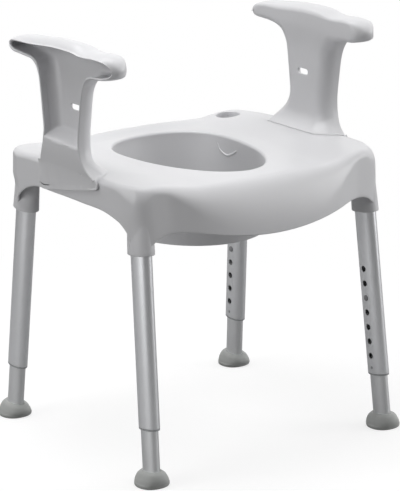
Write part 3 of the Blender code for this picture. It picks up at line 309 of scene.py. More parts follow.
def smooth_run(rows, soft=1.6, per_row=COLUMNS_PER_ROW):
    """A closed run through rows of numbers, as many points between each two rows.

    Each number follows a cubic between its rows, whose slopes are those of its neighbours
    over the distance in the first two numbers. The run is then softened by a bell-shaped
    average over a few points, done as a product in the frequency domain.
    """
    rows = np.asarray(rows, float)
    after = np.roll(rows, -1, axis=0)
    step = np.linalg.norm((after - rows)[:, :2], axis=1, keepdims=True)
    last = np.roll(step, 1, axis=0)
    before = rows - np.roll(rows, 1, axis=0)
    slope = (before / last * step + (after - rows) / step * last) / (step + last)
    t = np.linspace(0.0, 1.0, per_row, endpoint=False)[None, :, None]
    start = (slope * step)[:, None, :]
    end = (np.roll(slope, -1, axis=0) * step)[:, None, :]
    run = (
        (2 * t**3 - 3 * t**2 + 1) * rows[:, None, :]
        + (t**3 - 2 * t**2 + t) * start
        + (3 * t**2 - 2 * t**3) * after[:, None, :]
        + (t**3 - t**2) * end
    ).reshape(-1, rows.shape[1])
    count = len(run)
    bell = np.exp(-2.0 * (np.pi * np.fft.rfftfreq(count) * soft) ** 2)[:, None]
    return np.fft.irfft(np.fft.rfft(run, axis=0) * bell, count, axis=0)


def open_run(rows, count):
    """An open run through rows: each column a cubic in the row number, sampled evenly."""
    rows = np.asarray(rows, float)
    slope = np.gradient(rows, axis=0)
    place = np.linspace(0.0, len(rows) - 1.0, count)
    i = np.minimum(place.astype(int), len(rows) - 2)
    t = (place - i)[:, None]
    return (
        (2 * t**3 - 3 * t**2 + 1) * rows[i]
        + (t**3 - 2 * t**2 + t) * slope[i]
        + (3 * t**2 - 2 * t**3) * rows[i + 1]
        + (t**3 - t**2) * slope[i + 1]
    )


def surface_normals(surface):
    """Unit normals of a grid closed along its columns: row step crossed with column step."""
    down = np.gradient(surface, axis=0, edge_order=2)
    along = np.roll(surface, -1, axis=1) - np.roll(surface, 1, axis=1)
    return unit(np.cross(down, along))


class Skin:
    """Points and faces of one piece, gathered from several surfaces."""

    def __init__(self):
        self.points = []
        self.faces = []
        self.count = 0

    def add_points(self, points):
        """Number new points and keep them."""
        index = np.arange(self.count, self.count + len(points))
        self.points.append(points)
        self.count += len(points)
        return index

    def add_faces(self, faces, turned=False):
        """Keep faces, with their sides swapped if they are turned."""
        faces = np.asarray(faces)
        self.faces += (faces[:, ::-1] if turned else faces).tolist()

    def sheet(self, surface, loop=False, turned=False):
        """A grid closed along its columns, and along its rows too if it is a loop."""
        rows, columns = surface.shape[:2]
        index = self.add_points(surface.reshape(-1, 3)).reshape(rows, columns)
        here = index if loop else index[:-1]
        below = np.roll(index, -1, axis=0) if loop else index[1:]
        corners = [here, below, np.roll(below, -1, axis=1), np.roll(here, -1, axis=1)]
        self.add_faces(np.stack(corners, axis=-1).reshape(-1, 4), turned)

    def mesh(self, name):
        """The mesh in metres, its doubled points merged and its poles closed."""
        mesh = bpy.data.meshes.new(name)
        mesh.from_pydata(np.concatenate(self.points) * MM, [], self.faces)
        work = bmesh.new()
        work.from_mesh(mesh)
        bmesh.ops.remove_doubles(work, verts=work.verts, dist=1e-7)
        bmesh.ops.dissolve_degenerate(work, edges=work.edges, dist=1e-7)
        work.to_mesh(mesh)
        work.free()
        return mesh


def sheet_mesh(name, surface, **closing):
    """The mesh of a piece that is one surface."""
    skin = Skin()
    skin.sheet(surface, **closing)
    return skin.mesh(name)


def lathe(profile, columns, half=(0.0, 0.0), power=2.0):
    """Rings (offset, height) round an oval: the half sizes plus the offset, at each height.

    The oval is |x/a|^p + |y/b|^p = 1; where both half sizes are 0, the offset is a radius.
    """
    profile = np.asarray(profile, float)
    turn = np.linspace(0.0, 2.0 * np.pi, columns, endpoint=False)[None, :]
    cos, sin = np.cos(turn), np.sin(turn)
    x = np.sign(cos) * np.abs(cos) ** (2.0 / power)
    y = np.sign(sin) * np.abs(sin) ** (2.0 / power)
    offset = profile[:, :1]
    height = np.broadcast_to(profile[:, 1:2], (len(profile), columns))
    return np.stack([x * (half[0] + offset), y * (half[1] + offset), height], axis=-1)


def arc(x, y, radius, start, end, steps):
    """Points (x, y) on a circle's arc between two angles in degrees."""
    turn = np.radians(np.linspace(start, end, steps))
    return np.stack([x + radius * np.cos(turn), y + radius * np.sin(turn)], axis=-1)


class Leg:
    """The leaning axis of one leg: its foot, and the directions across, along and up it."""

    def __init__(self, name, side, end):
        self.name = name
        self.side = side
        front = -1 if end == "front" else 1
        self.foot = np.array([side * LEG_FOOT_X[end], front * LEG_FOOT_Y, 0.0])
        up = unit(np.array([-side * LEG_LEAN_X, -front * LEG_LEAN_Y[end], 1.0]))
        along = unit(np.array([0.0, 1.0, 0.0]) - up * up[1])
        self.turn = np.stack([np.cross(along, up), along, up])

    def place(self, points):
        """Points of the leg's own frame, put in the world."""
        return points @ self.turn + self.foot

    def local(self, points):
        """World points in the leg's own frame."""
        return (points - self.foot) @ self.turn.T

    def matrix(self):
        """The leg's frame as a matrix in metres."""
        made = Matrix(self.turn.tolist()).transposed().to_4x4()
        made.translation = Vector(self.foot * MM)
        return made


LEGS = [Leg(name, side, end) for name, side, end in LEG_NAMES]


def hide_tool(name, mesh):
    """A hidden object that only joins or cuts another one."""
    tool = bpy.data.objects.new(name, mesh)
    bpy.context.scene.collection.objects.link(tool)
    tool.hide_render = True
    return tool


def carve(mesh, steps):
    """The mesh after joining and cutting with each mesh in turn."""
    body = hide_tool("carved", mesh)
    tools = []
    for operation, shape in steps:
        modifier = body.modifiers.new(operation, "BOOLEAN")
        modifier.operation = operation
        modifier.solver = "EXACT"
        modifier.object = hide_tool("tool", shape)
        tools.append(modifier.object)
    bpy.context.view_layer.update()
    shaped = body.evaluated_get(bpy.context.evaluated_depsgraph_get())
    done = bpy.data.meshes.new_from_object(shaped)
    for used in [body, *tools]:
        bpy.data.objects.remove(used)
    return done


def joined(meshes):
    """One mesh that holds several closed surfaces."""
    work = bmesh.new()
    for mesh in meshes:
        work.from_mesh(mesh)
    whole = bpy.data.meshes.new("joined")
    work.to_mesh(whole)
    work.free()
    return whole


def set_piece(name, mesh, finish, body, node, sharp=32.0, leg=None):
    """Put a finished mesh in the scene in place of its CAD node."""
    mesh.name = name
    mesh.materials.clear()
    mesh.materials.append(finish)
    mesh.shade_smooth()
    mesh.set_sharp_from_angle(angle=math.radians(sharp))
    if leg is not None:
        points = np.empty(len(mesh.vertices) * 3)
        mesh.vertices.foreach_get("co", points)
        places = leg.local(points.reshape(-1, 3) / MM) * MM
        kept = mesh.attributes.new("leg_place", "FLOAT_VECTOR", "POINT")
        kept.data.foreach_set("vector", places.ravel())
    piece = bpy.data.objects.new(name, mesh)
    bpy.context.scene.collection.objects.link(piece)
    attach(piece, body)
    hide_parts(node)


# Finishes.


class Finish:
    """A material or node group while its nodes are laid and joined."""

    def __init__(self, tree):
        self.tree = tree

    def node(self, kind, inputs=None, **settings):
        """A node with its settings, its inputs set or linked by name or number."""
        made = self.tree.nodes.new(kind)
        for key, value in settings.items():
            setattr(made, key, value)
        for key, value in (inputs or {}).items():
            if isinstance(value, bpy.types.NodeSocket):
                self.tree.links.new(value, made.inputs[key])
            else:
                made.inputs[key].default_value = value
        return made

    def link(self, output, target):
        """Join an output to an input."""
        self.tree.links.new(output, target)

    def math(self, operation, *values):
        """The result of one operation on numbers or outputs."""
        return self.node("ShaderNodeMath", dict(enumerate(values)), operation=operation).outputs[0]

    def noise(self, place, size, detail, rough=0.5):
        """Noise at a place, from 0 to 1."""
        given = {"Vector": place, "Scale": size, "Detail": detail, "Roughness": rough}
        return self.node("ShaderNodeTexNoise", given).outputs[0]

    def spread(self, value, start, end, low=0.0, high=1.0, kind="SMOOTHSTEP"):
        """How far a value has come from start to end, laid over the range from low to high."""
        given = {"Value": value, "From Min": start, "From Max": end, "To Min": low, "To Max": high}
        return self.node("ShaderNodeMapRange", given, interpolation_type=kind).outputs[0]


def node_group(name, title, value, outputs):
    """An empty group that takes a place and one number, and its sockets seen from inside."""
    tree = bpy.data.node_groups.new(name, "ShaderNodeTree")
    tree.interface.new_socket("Place", in_out="INPUT", socket_type="NodeSocketVector")
    number = tree.interface.new_socket(title, in_out="INPUT", socket_type="NodeSocketFloat")
    number.default_value = value
    for output in outputs:
        tree.interface.new_socket(output, in_out="OUTPUT", socket_type="NodeSocketFloat")
    finish = Finish(tree)
    given = finish.node("NodeGroupInput").outputs
    result = finish.node("NodeGroupOutput").inputs
    return finish, given["Place"], given[title], result


def mould_grain():
    """Height of a fine moulded grain: two sizes of noise added, the finer one weaker."""
    finish, place, size, result = node_group("mould_grain", "Size", 900.0, ["Height"])
    coarse = finish.noise(place, size, 3.0, 0.6)
    finer = finish.math("MULTIPLY", size, 3.1)
    cells = finish.node("ShaderNodeTexVoronoi", {"Vector": place, "Scale": finer}, feature="SMOOTH_F1")
    weak = finish.math("MULTIPLY", cells.outputs["Distance"], 0.35)
    finish.link(finish.math("ADD", coarse, weak), result["Height"])
    return finish.tree


def handling_marks():
    """Mask of faint smudges: broad noise lifted to a soft range, times finer noise."""
    finish, place, size, result = node_group("handling_marks", "Size", 9.0, ["Mask"])
    broad = finish.noise(place, size, 5.0, 0.62)
    lifted = finish.spread(broad, 0.35, 0.7)
    finer = finish.math("MULTIPLY", size, 14.0)
    fine = finish.noise(place, finer, 4.0)
    finish.link(finish.math("MULTIPLY", lifted, fine), result["Mask"])
    return finish.tree


def edge_wear():
    """Mask of rubbed edges: how far a place stands proud of what is round it, made patchy."""
    finish, place, patches, result = node_group("edge_wear", "Patches", 60.0, ["Mask"])
    shape = finish.node("ShaderNodeNewGeometry")
    proud = finish.spread(shape.outputs["Pointiness"], 0.52, 0.6)
    patchy = finish.noise(place, patches, 4.0)
    finish.link(finish.math("MULTIPLY", proud, patchy), result["Mask"])
    return finish.tree


def drawn_lines():
    """Height of the lines that drawing leaves along a tube: noise stretched along the leg."""
    finish, place, size, result = node_group("drawn_lines", "Size", 1500.0, ["Height", "Streaks"])
    pulled = finish.node("ShaderNodeMapping", {"Vector": place, "Scale": (1.0, 1.0, 0.006)})
    fine = finish.noise(pulled.outputs[0], size, 4.0, 0.7)
    wide = finish.math("MULTIPLY", size, 0.12)
    streaks = finish.noise(pulled.outputs[0], wide, 3.0)
    finish.link(fine, result["Height"])
    finish.link(streaks, result["Streaks"])
    return finish.tree


GROUPS = {make.__name__: make() for make in (mould_grain, handling_marks, edge_wear, drawn_lines)}


def use_group(finish, name, **inputs):
    """The outputs of a group whose inputs are set or linked."""
    return finish.node("ShaderNodeGroup", inputs, node_tree=GROUPS[name]).outputs


def new_finish(name, place="OBJECT"):
    """A material with its Principled shader and the coordinates that its pattern follows."""
    made = bpy.data.materials.new(name + "_finish")
    made.use_nodes = True
    finish = Finish(made.node_tree)
    if place == "OBJECT":
        where = finish.node("ShaderNodeTexCoord").outputs["Object"]
    else:
        where = finish.node("ShaderNodeAttribute", attribute_name=place).outputs["Vector"]
    return made, finish, made.node_tree.nodes["Principled BSDF"], where


def set_tone(finish, shader, mask, colours, gloss, roughness):
    """The second colour where the mask is 1, and roughness over its range by the gloss mask."""
    plain, other = colours
    given = {0: mask, 6: (*plain, 1.0), 7: (*other, 1.0)}
    mix = finish.node("ShaderNodeMix", given, data_type="RGBA")
    finish.link(mix.outputs[2], shader.inputs["Base Color"])
    rough = finish.spread(gloss, 0.0, 1.0, *roughness, kind="LINEAR")
    finish.link(rough, shader.inputs["Roughness"])


def set_bump(finish, shader, height, strength, distance):
    """A bump from a height into the shader's normal."""
    given = {"Height": height, "Strength": strength, "Distance": distance}
    finish.link(finish.node("ShaderNodeBump", given).outputs[0], shader.inputs["Normal"])


def moulded_plastic(name, colour, worn, rough, grain, strength):
    """Moulded plastic: fine grain, faint smudges in the gloss, rubbed edges a little lighter."""
    made, finish, shader, where = new_finish(name)
    marks = use_group(finish, "handling_marks", Place=where, Size=9.0)[0]
    wear = use_group(finish, "edge_wear", Place=where, Patches=60.0)[0]
    shade = finish.math("MULTIPLY", marks, SMUDGE_SHADE)
    lighter = finish.math("MAXIMUM", shade, wear)
    set_tone(finish, shader, lighter, (colour, worn), marks, (rough, rough - SMUDGE_GLOSS))
    height = use_group(finish, "mould_grain", Place=where, Size=grain)[0]
    set_bump(finish, shader, height, strength, 0.0001)
    shader.inputs["Specular IOR Level"].default_value = 0.45
    return made


def drawn_aluminium(name, colour, dull, rough):
    """Satin anodised tube: lines and streaks along the leg in its bump, gloss and colour."""
    made, finish, shader, where = new_finish(name, "leg_place")
    lines = use_group(finish, "drawn_lines", Place=where, Size=1500.0)
    marks = use_group(finish, "handling_marks", Place=where, Size=22.0)[0]
    mask = finish.math("MULTIPLY", lines["Streaks"], marks)
    set_tone(finish, shader, mask, (colour, dull), lines["Streaks"], (rough - 0.05, rough + 0.07))
    set_bump(finish, shader, lines["Height"], 0.12, 0.00005)
    shader.inputs["Metallic"].default_value = 1.0
    return made


def foot_rubber():
    """Dull grey rubber: a coarser grain, dust in broad patches."""
    made, finish, shader, where = new_finish("foot_rubber")
    marks = use_group(finish, "handling_marks", Place=where, Size=30.0)[0]
    clean, dusty = (0.40, 0.41, 0.40), (0.48, 0.485, 0.475)
    set_tone(finish, shader, marks, (clean, dusty), marks, (0.55, 0.72))
    height = use_group(finish, "mould_grain", Place=where, Size=520.0)[0]
    set_bump(finish, shader, height, 0.25, 0.0002)
    shader.inputs["Specular IOR Level"].default_value = 0.35
    return made


def spring_steel():
    """Bright rolled strip with fine scratches along it and a faint straw tint in patches."""
    made, finish, shader, where = new_finish("spring_steel")
    lines = use_group(finish, "drawn_lines", Place=where, Size=2600.0)
    marks = use_group(finish, "handling_marks", Place=where, Size=80.0)[0]
    bright, straw = (0.50, 0.50, 0.51), (0.46, 0.43, 0.37)
    set_tone(finish, shader, marks, (bright, straw), lines["Streaks"], (0.22, 0.36))
    set_bump(finish, shader, lines["Height"], 0.1, 0.00003)
    shader.inputs["Metallic"].default_value = 1.0
    return made


# Name, plain colour, worn or dull colour, roughness; for plastic also the grain's size and depth.
SEAT_PLASTIC = moulded_plastic(
    "seat_plastic", (0.66, 0.66, 0.675), (0.71, 0.71, 0.72), 0.35, 1100.0, 0.05
)
# Both tubes' plain colours are set well above the aluminium's own, to make up for the dim reflections
# round them: painted light on the metal.
TUBE_ALUMINIUM = drawn_aluminium("tube_aluminium", (0.91, 0.92, 0.94), (0.82, 0.83, 0.85), 0.34)
INNER_ALUMINIUM = drawn_aluminium("inner_aluminium", (0.82, 0.83, 0.84), (0.73, 0.74, 0.75), 0.38)
BUSH_PLASTIC = moulded_plastic(
    "bush_plastic", (0.40, 0.41, 0.42), (0.47, 0.48, 0.49), 0.5, 900.0, 0.1
)
BUTTON_PLASTIC = moulded_plastic(
    "button_plastic", (0.30, 0.30, 0.31), (0.36, 0.36, 0.37), 0.4, 1500.0, 0.05
)
FOOT_RUBBER = foot_rubber()
SPRING_STEEL = spring_steel()


# Seat body.


def deck_height(x, y):
    """A shallow dish: 470 mm round the opening, 9.5 mm more at the sides and mid rear."""
    side = smoothstep(np.abs(x), *DECK_SIDE_X) * (1.0 - DECK_FADE * smoothstep(y, *DECK_FADE_Y))
    rear = smoothstep(y, *DECK_REAR_Y) * (1.0 - smoothstep(np.abs(x), *DECK_REAR_X))
    return DECK + DECK_RISE * np.maximum(side, rear)


def shoulder_drop(x, y, radius):
    """Height of the shoulder: its radius, and up to twice that in the front's middle and corners."""
    middle = 1.0 - smoothstep(np.abs(x), *FRONT_MIDDLE_X)
    corner = FRONT_CORNER * smoothstep(np.abs(x), *FRONT_CORNER_X) * smoothstep(-y, *FRONT_CORNER_Y)
    return np.where(y > 0.0, radius, radius * (1.0 + np.maximum(middle, corner)))


def opening_line(x, y, grow):
    """The opening seen from its widest place: an oval with other powers in front and behind."""
    dy = y - OPENING_Y
    rear = dy > 0.0
    length = np.where(rear, OPENING_REAR, OPENING_FRONT) + grow
    power = np.where(rear, OPENING_REAR_POWER, OPENING_FRONT_POWER)
    across = (np.abs(x) / (OPENING_HALF_WIDTH + grow)) ** power
    k = (across + (np.abs(dy) / length) ** power) ** (-1.0 / power)
    return x * k, OPENING_Y + dy * k


def seat_skin():
    """The seat's outer face: a profile carried round the outline.

    Each column rises from the guard's round lower rim to the opening, turns over the rim's
    fillet, crosses the deck, turns down the shoulder's quarter oval and follows the wall
    to its lower edge. Over a leg the wall runs on into the socket's oval.
    """
    half = np.asarray(SEAT_OUTLINE)
    mirrored = half[-2:0:-1] * [-1.0, 1.0, 1.0, 1.0, 1.0]
    run = smooth_run(np.concatenate([half, mirrored]))
    x, y, low, radius, cover = run.T
    cover = np.clip(cover, 0.0, 1.0)
    normal = np.roll(run, -1, axis=0)[:, :2] - np.roll(run, 1, axis=0)[:, :2]
    nx, ny = unit(normal)[:, 1], -unit(normal)[:, 0]
    lean = np.where(y < 0.0, LEG_LEAN_Y["front"], LEG_LEAN_Y["rear"])
    rows = []

    def wall(z, inset):
        """The outline at a height, leaning out below its own level, moved in by an inset."""
        drop = OUTLINE_LEVEL - z
        px = x + nx * (LEG_LEAN_X * np.abs(nx) * drop - inset)
        py = y + ny * (lean * np.abs(ny) * drop - inset)
        return np.stack([px, py, np.broadcast_to(z, x.shape)], axis=-1)

    hole = np.stack(opening_line(x, y, 0.0))
    away = hole - [[0.0], [GUARD_Y]]
    guard = away / np.linalg.norm(away, axis=0) * GUARD_RADIUS + [[0.0], [GUARD_Y]]
    for v in np.linspace(0.0, 1.0, GUARD_ROWS)[:-1]:
        px, py = guard + (hole - guard) * (1.0 - (1.0 - v) ** GUARD_BELLY)
        z = np.full_like(px, GUARD_BOTTOM + v * (DECK - RIM_ROUND - GUARD_BOTTOM))
        rows.append(np.stack([px, py, z], axis=-1))
    for turn in np.radians(np.linspace(0.0, 90.0, RIM_ROWS)):
        px, py = opening_line(x, y, RIM_ROUND * (1.0 - np.cos(turn)))
        z = deck_height(px, py) - RIM_ROUND * (1.0 - np.sin(turn))
        rows.append(np.stack([px, py, z], axis=-1))
    rim = rows[-1]
    edge = wall(DECK, radius + DECK_EDGE)
    for f in np.linspace(0.0, 1.0, DECK_ROWS)[1:]:
        px, py = (rim + (edge - rim) * f)[:, :2].T
        rows.append(np.stack([px, py, deck_height(px, py)], axis=-1))
    top = rows[-1][:, 2]
    drop = shoulder_drop(x, y, radius)
    for turn in np.radians(np.linspace(0.0, 90.0, SHOULDER_ROWS))[1:]:
        rows.append(wall(top - drop * (1.0 - np.cos(turn)), radius * (1.0 - np.sin(turn))))
    start = rows[-1][:, 2]
    behind = smoothstep(y, *COVER_REAR_Y)
    cover_start = COVER_START + COVER_START_REAR * behind
    cover_done = COVER_DONE + COVER_DONE_REAR * behind
    for f in np.linspace(0.0, 1.0, WALL_ROWS)[1:]:
        z = start + (low - start) * f
        point = wall(z, 0.0)
        share = cover * smoothstep(-z, -cover_start, -cover_done)
        for leg in LEGS:
            near = (np.sign(x) == leg.side) & (np.sign(y) == np.sign(leg.foot[1]))
            flat = leg.local(point)
            taper = SOCKET_TAPER * (SOCKET_MOUTH - flat[:, 2]) / (SOCKET_TOP - SOCKET_MOUTH)
            half_x = SOCKET_HALF[0] + (taper - SOCKET_SUNK)
            half_y = SOCKET_HALF[1] + (taper - SOCKET_SUNK)
            angle = np.arctan2(flat[:, 1] / half_y, flat[:, 0] / half_x)
            oval = np.stack([half_x * np.cos(angle), half_y * np.sin(angle), flat[:, 2]], axis=-1)
            onto = point + (leg.place(oval) - point) * share[:, None]
            point = np.where((near & (share > 0.0))[:, None], onto, point)
        rows.append(point)
    return np.stack(rows)


def edge_round(point, normal, out, thickness, steps=5):
    """A half circle from one face of a wall round its edge to the other face."""
    turn = np.linspace(0.0, np.pi, steps + 2)[1:-1, None, None]
    centre = point - normal * thickness / 2.0
    return centre + thickness / 2.0 * (np.cos(turn) * normal + np.sin(turn) * out)


def seat_shell():
    """The seat's wall: its outer face, a face one wall inside it, and two rounded edges."""
    outer = seat_skin()
    normal = surface_normals(outer)
    inner = outer - normal * SEAT_WALL
    inner = np.concatenate([inner[:-1:2], inner[-1:]])
    down = unit(outer[-1] - outer[-2])
    up = unit(outer[0] - outer[1])
    lower = edge_round(outer[-1], normal[-1], down, SEAT_WALL)
    guard = edge_round(outer[0], normal[0], up, SEAT_WALL)[::-1]
    return sheet_mesh("seat_wall", np.concatenate([outer, lower, inner[::-1], guard]), loop=True)


def revolved(profile, x, y, columns=64):
    """A closed surface turned about an upright axis, its top carried up with the deck."""
    points = lathe(profile, columns) + [x, y, 0.0]
    lift = deck_height(points[..., 0], points[..., 1]) - DECK
    points[..., 2] += lift * smoothstep(points[..., 2], *CUP_CARRY_Z)
    return sheet_mesh("turned", points, turned=True)


def corner_cup():
    """What the right rear cup adds under the deck, and its hollow: flared mouth, narrow slit."""
    outside = CUP_RADIUS + CUP_WALL
    wall = np.concatenate(
        [
            [(0.0, CUP_BASE)],
            arc(outside - CUP_ROUND, CUP_BASE + CUP_ROUND, CUP_ROUND, -90.0, 0.0, 5),
            [(outside, CUP_TOP), (0.0, CUP_TOP)],
        ]
    )
    hollow = np.concatenate(
        [
            [(0.0, CUP_FLOOR)],
            arc(CUP_RADIUS - 2.5, CUP_FLOOR + 2.5, 2.5, -90.0, 0.0, 7),
            arc(CUP_RADIUS + CUP_LIP, DECK + CUP_PROUD - CUP_LIP, CUP_LIP, 180.0, 90.0, 9),
            [(CUP_RADIUS + 4.5, DECK + 3.0), (0.0, DECK + 3.0)],
        ]
    )
    slit = bpy.data.meshes.new("slit")
    work = bmesh.new()
    bmesh.ops.create_cube(work, size=1.0)
    place = Matrix.Translation((CUP_X * MM, CUP_Y * MM, SLIT_Z)) @ Matrix.Rotation(-SLIT_TURN, 4, "Z")
    out = Matrix.Translation((0.0, (CUP_RADIUS + CUP_WALL / 2.0) * MM, 0.0))
    work.transform(place @ out @ Matrix.Diagonal((*SLIT_SIZE, 1.0)))
    work.to_mesh(slit)
    work.free()
    return revolved(wall, CUP_X, CUP_Y), joined([revolved(hollow, CUP_X, CUP_Y), slit])


def leg_socket(leg):
    """A socket: a tapered oval outside, a rounded mouth and a straight oval bore."""
    bore = OUTER_HALF[0] + PLAY - SOCKET_HALF[0]
    mouth = SOCKET_MOUTH
    root = SOCKET_TOP - 3.0
    outside = [(0.0, mouth + SOCKET_LIP), (-SOCKET_TAPER / 2.0, mouth + 40.0), (-SOCKET_TAPER, root)]
    lip = arc(-SOCKET_LIP, mouth + SOCKET_LIP, SOCKET_LIP, 0.0, -90.0, 6)
    inside = [(bore + 0.5, mouth), (bore, mouth + 0.5), (bore, root)]
    rings = lathe(np.concatenate([open_run(outside, 14)[::-1], lip, inside]), 96, SOCKET_HALF)
    return sheet_mesh("socket", leg.place(rings), loop=True)


def pole(ring):
    """A ring drawn together to its middle, which closes the end of a surface."""
    return np.broadcast_to(ring.mean(axis=0), ring.shape)[None]


def tenon(side):
    """The tongue that an armrest slips over: a rounded oblong that narrows a little upwards."""
    flank = [(0.0, TENON_ROOT), (0.0, TENON_ROOT + 2.0), (-0.5, TENON_TOP - TENON_ROUND - 2.0)]
    top = arc(-0.5 - TENON_ROUND, TENON_TOP - TENON_ROUND, TENON_ROUND, 0.0, 90.0, 5)
    rings = lathe(np.concatenate([flank, top]), 72, TENON_HALF, power=TENON_POWER)
    closed = np.concatenate([pole(rings[0]), rings, pole(rings[-1])])
    return sheet_mesh("tenon", closed + [side * TENON_X, ARM_Y, 0.0], turned=True)


def guard_mark():
    """A low U-shaped rib on the guard's right wall: a round bead swept along it, half sunk."""
    path = open_run(RIB_PATH, 60)
    along = unit(np.gradient(path, axis=0))
    inward = np.array([-1.0, 0.0, 0.1])
    inward = unit(inward - along * (along @ inward)[:, None])
    across = np.cross(along, inward)
    ends = 1.0 - np.linspace(-1.0, 1.0, len(path)) ** 10
    size = (RIB_SIZE * np.sqrt(np.clip(ends, 0.02, 1.0)))[:, None, None]
    turn = np.linspace(0.0, 2.0 * np.pi, 16, endpoint=False)[None, :, None]
    bead = RIB_HEIGHT * np.cos(turn) * inward[:, None] + np.sin(turn) * across[:, None]
    rings = path[:, None] + size * bead
    return sheet_mesh("guard_mark", np.concatenate([pole(rings[0]), rings, pole(rings[-1])]))


def build_seat():
    """The seat body with its cup, sockets, tenons and rib."""
    cup, hollow = corner_cup()
    parts = [carve(seat_shell(), [("UNION", cup), ("DIFFERENCE", hollow)])]
    parts += [leg_socket(leg) for leg in LEGS]
    parts += [tenon(-1), tenon(1), guard_mark()]
    set_piece("moulded_seat", joined(parts), SEAT_PLASTIC, "seat", "seat_shell", sharp=40.0)


# Armrests, drawn for the +X side and mirrored for the other.


def arm_web(z):
    """x of the inner face: 227 mm, less a toe at the seat and a bulge at the grip."""
    toe = np.clip((TOE_TOP - z) / TOE_RUN, 0.0, 1.0) ** TOE_POWER
    return WEB_X - TOE * toe - BULGE * smoothstep(z, *BULGE_Z)


def arm_plan(x, y, z):
    """The grip's ends rounded from above, and the toe drawn out to a thin tip in front."""
    past = np.maximum(np.abs(y - GRIP_Y) - GRIP_STRAIGHT, 0.0)
    aside = np.minimum(np.abs(x - GRIP_X) / GRIP_HALF, GRIP_LIMIT)
    rounded = GRIP_Y + np.sign(y - GRIP_Y) * (GRIP_STRAIGHT + past * np.sqrt(1.0 - aside**2))
    y_new = np.where(past > 0.0, rounded, y)
    toe = np.maximum(ARM_Y - y_new - TIP_START, 0.0) / TIP_RUN
    fade = 1.0 - smoothstep(z, *TIP_FADE_Z)
    keep = 1.0 - (1.0 - np.maximum(1.0 - toe**2, TIP_LEAST)) * fade
    lip = panel_x(z)
    return np.stack([lip - (lip - x) * keep, y_new, z], axis=-1)


def seat_under(x, y):
    """Height of the seat's top under an armrest: the deck, then its shoulder's circle."""
    past = np.maximum(x - SIDE_SHOULDER_X, 0.0)
    rise = np.sqrt(np.maximum(SIDE_SHOULDER**2 - past**2, 0.0))
    return deck_height(x, y) - SIDE_SHOULDER + rise


def rest_on_seat(points):
    """Lift what would lie in the seat into the seam above it, the deepest of it lowest.

    A point that is d below the seam's top comes to lie below it by a share of the seam,
    times one less an exponential of d.
    """
    x, y, z = points[..., 0], points[..., 1], points[..., 2]
    depth = np.minimum(z - seat_under(x, y) - SEAM, 0.0)
    lifted = z - depth - SEAM * SEAM_SHARE * (1.0 - np.exp(depth / SEAM_DEPTH))
    return np.stack([x, y, np.where(x < SEAT_SIDE_X, lifted, z)], axis=-1)


def arm_skin():
    """The outer face, from its outer edge over the crown to the flat inner face.

    The crown sinks the edge by its own depth at the outside and nothing at the crest, as a
    square of the way there. From the crest a parabola and then a circle turn it into the
    inner face.
    """
    run = smooth_run(ARM_OUTLINE)
    y, z, edge, crest, radius, crown = run.T
    crown = np.maximum(crown, 0.0)
    web = arm_web(z)
    radius = np.minimum(radius, crest - web - ARM_LEAST)
    tangent = unit(np.roll(run, -1, axis=0)[:, :2] - np.roll(run, 1, axis=0)[:, :2])
    iy, iz = -tangent[:, 1], tangent[:, 0]
    edge = edge - ARM_WALL / 2.0
    rows = []
    for f in np.linspace(0.0, 1.0, CROWN_ROWS):
        inset = crown * (1.0 - f) ** 2
        rows.append(np.stack([edge + (crest - edge) * f, y + iy * inset, z + iz * inset], axis=-1))
    slope = np.arctan(2.0 * CROWN_INNER * crown / np.maximum(crest - web - radius, 1.0))
    meet = web + radius * (1.0 - np.sin(slope))
    for g in np.linspace(0.0, 1.0, CROWN_ROWS)[1:]:
        inset = CROWN_INNER * crown * g**2
        rows.append(np.stack([crest + (meet - crest) * g, y + iy * inset, z + iz * inset], axis=-1))
    base = CROWN_INNER * crown - radius * (1.0 - np.cos(slope))
    for g in np.linspace(0.0, 1.0, TURN_ROWS)[1:]:
        turn = slope + (np.pi / 2.0 - slope) * g
        inset = base + radius * (1.0 - np.cos(turn))
        py, pz = y + iy * inset, z + iz * inset
        rows.append(np.stack([arm_web(pz) + radius * (1.0 - np.sin(turn)), py, pz], axis=-1))
    skin = np.stack(rows)
    return arm_plan(skin[..., 0], skin[..., 1], skin[..., 2])


def slot_ring(grow):
    """Points (y, z) of the slot, an oblong with round ends, grown all round."""
    radius = SLOT_HEIGHT / 2.0
    reach = SLOT_LENGTH / 2.0 - radius
    right = arc(reach, 0.0, radius + grow, -90.0, 90.0, SLOT_STEPS)
    left = arc(-reach, 0.0, radius + grow, 90.0, 270.0, SLOT_STEPS)
    return np.concatenate([right, left]) + [SLOT_Y, SLOT_Z]


def inside_of(points, ring):
    """True for points (y, z) inside a closed ring, by counting the edges to one side."""
    after = np.roll(ring, -1, axis=0)
    py, pz = points[:, 0:1], points[:, 1:2]
    spans = (ring[:, 1] > pz) != (after[:, 1] > pz)
    rise = np.where(after[:, 1] == ring[:, 1], 1e-9, after[:, 1] - ring[:, 1])
    cross = ring[:, 0] + (pz - ring[:, 1]) / rise * (after[:, 0] - ring[:, 0])
    return (np.sum(spans & (py < cross), axis=1) % 2) == 1


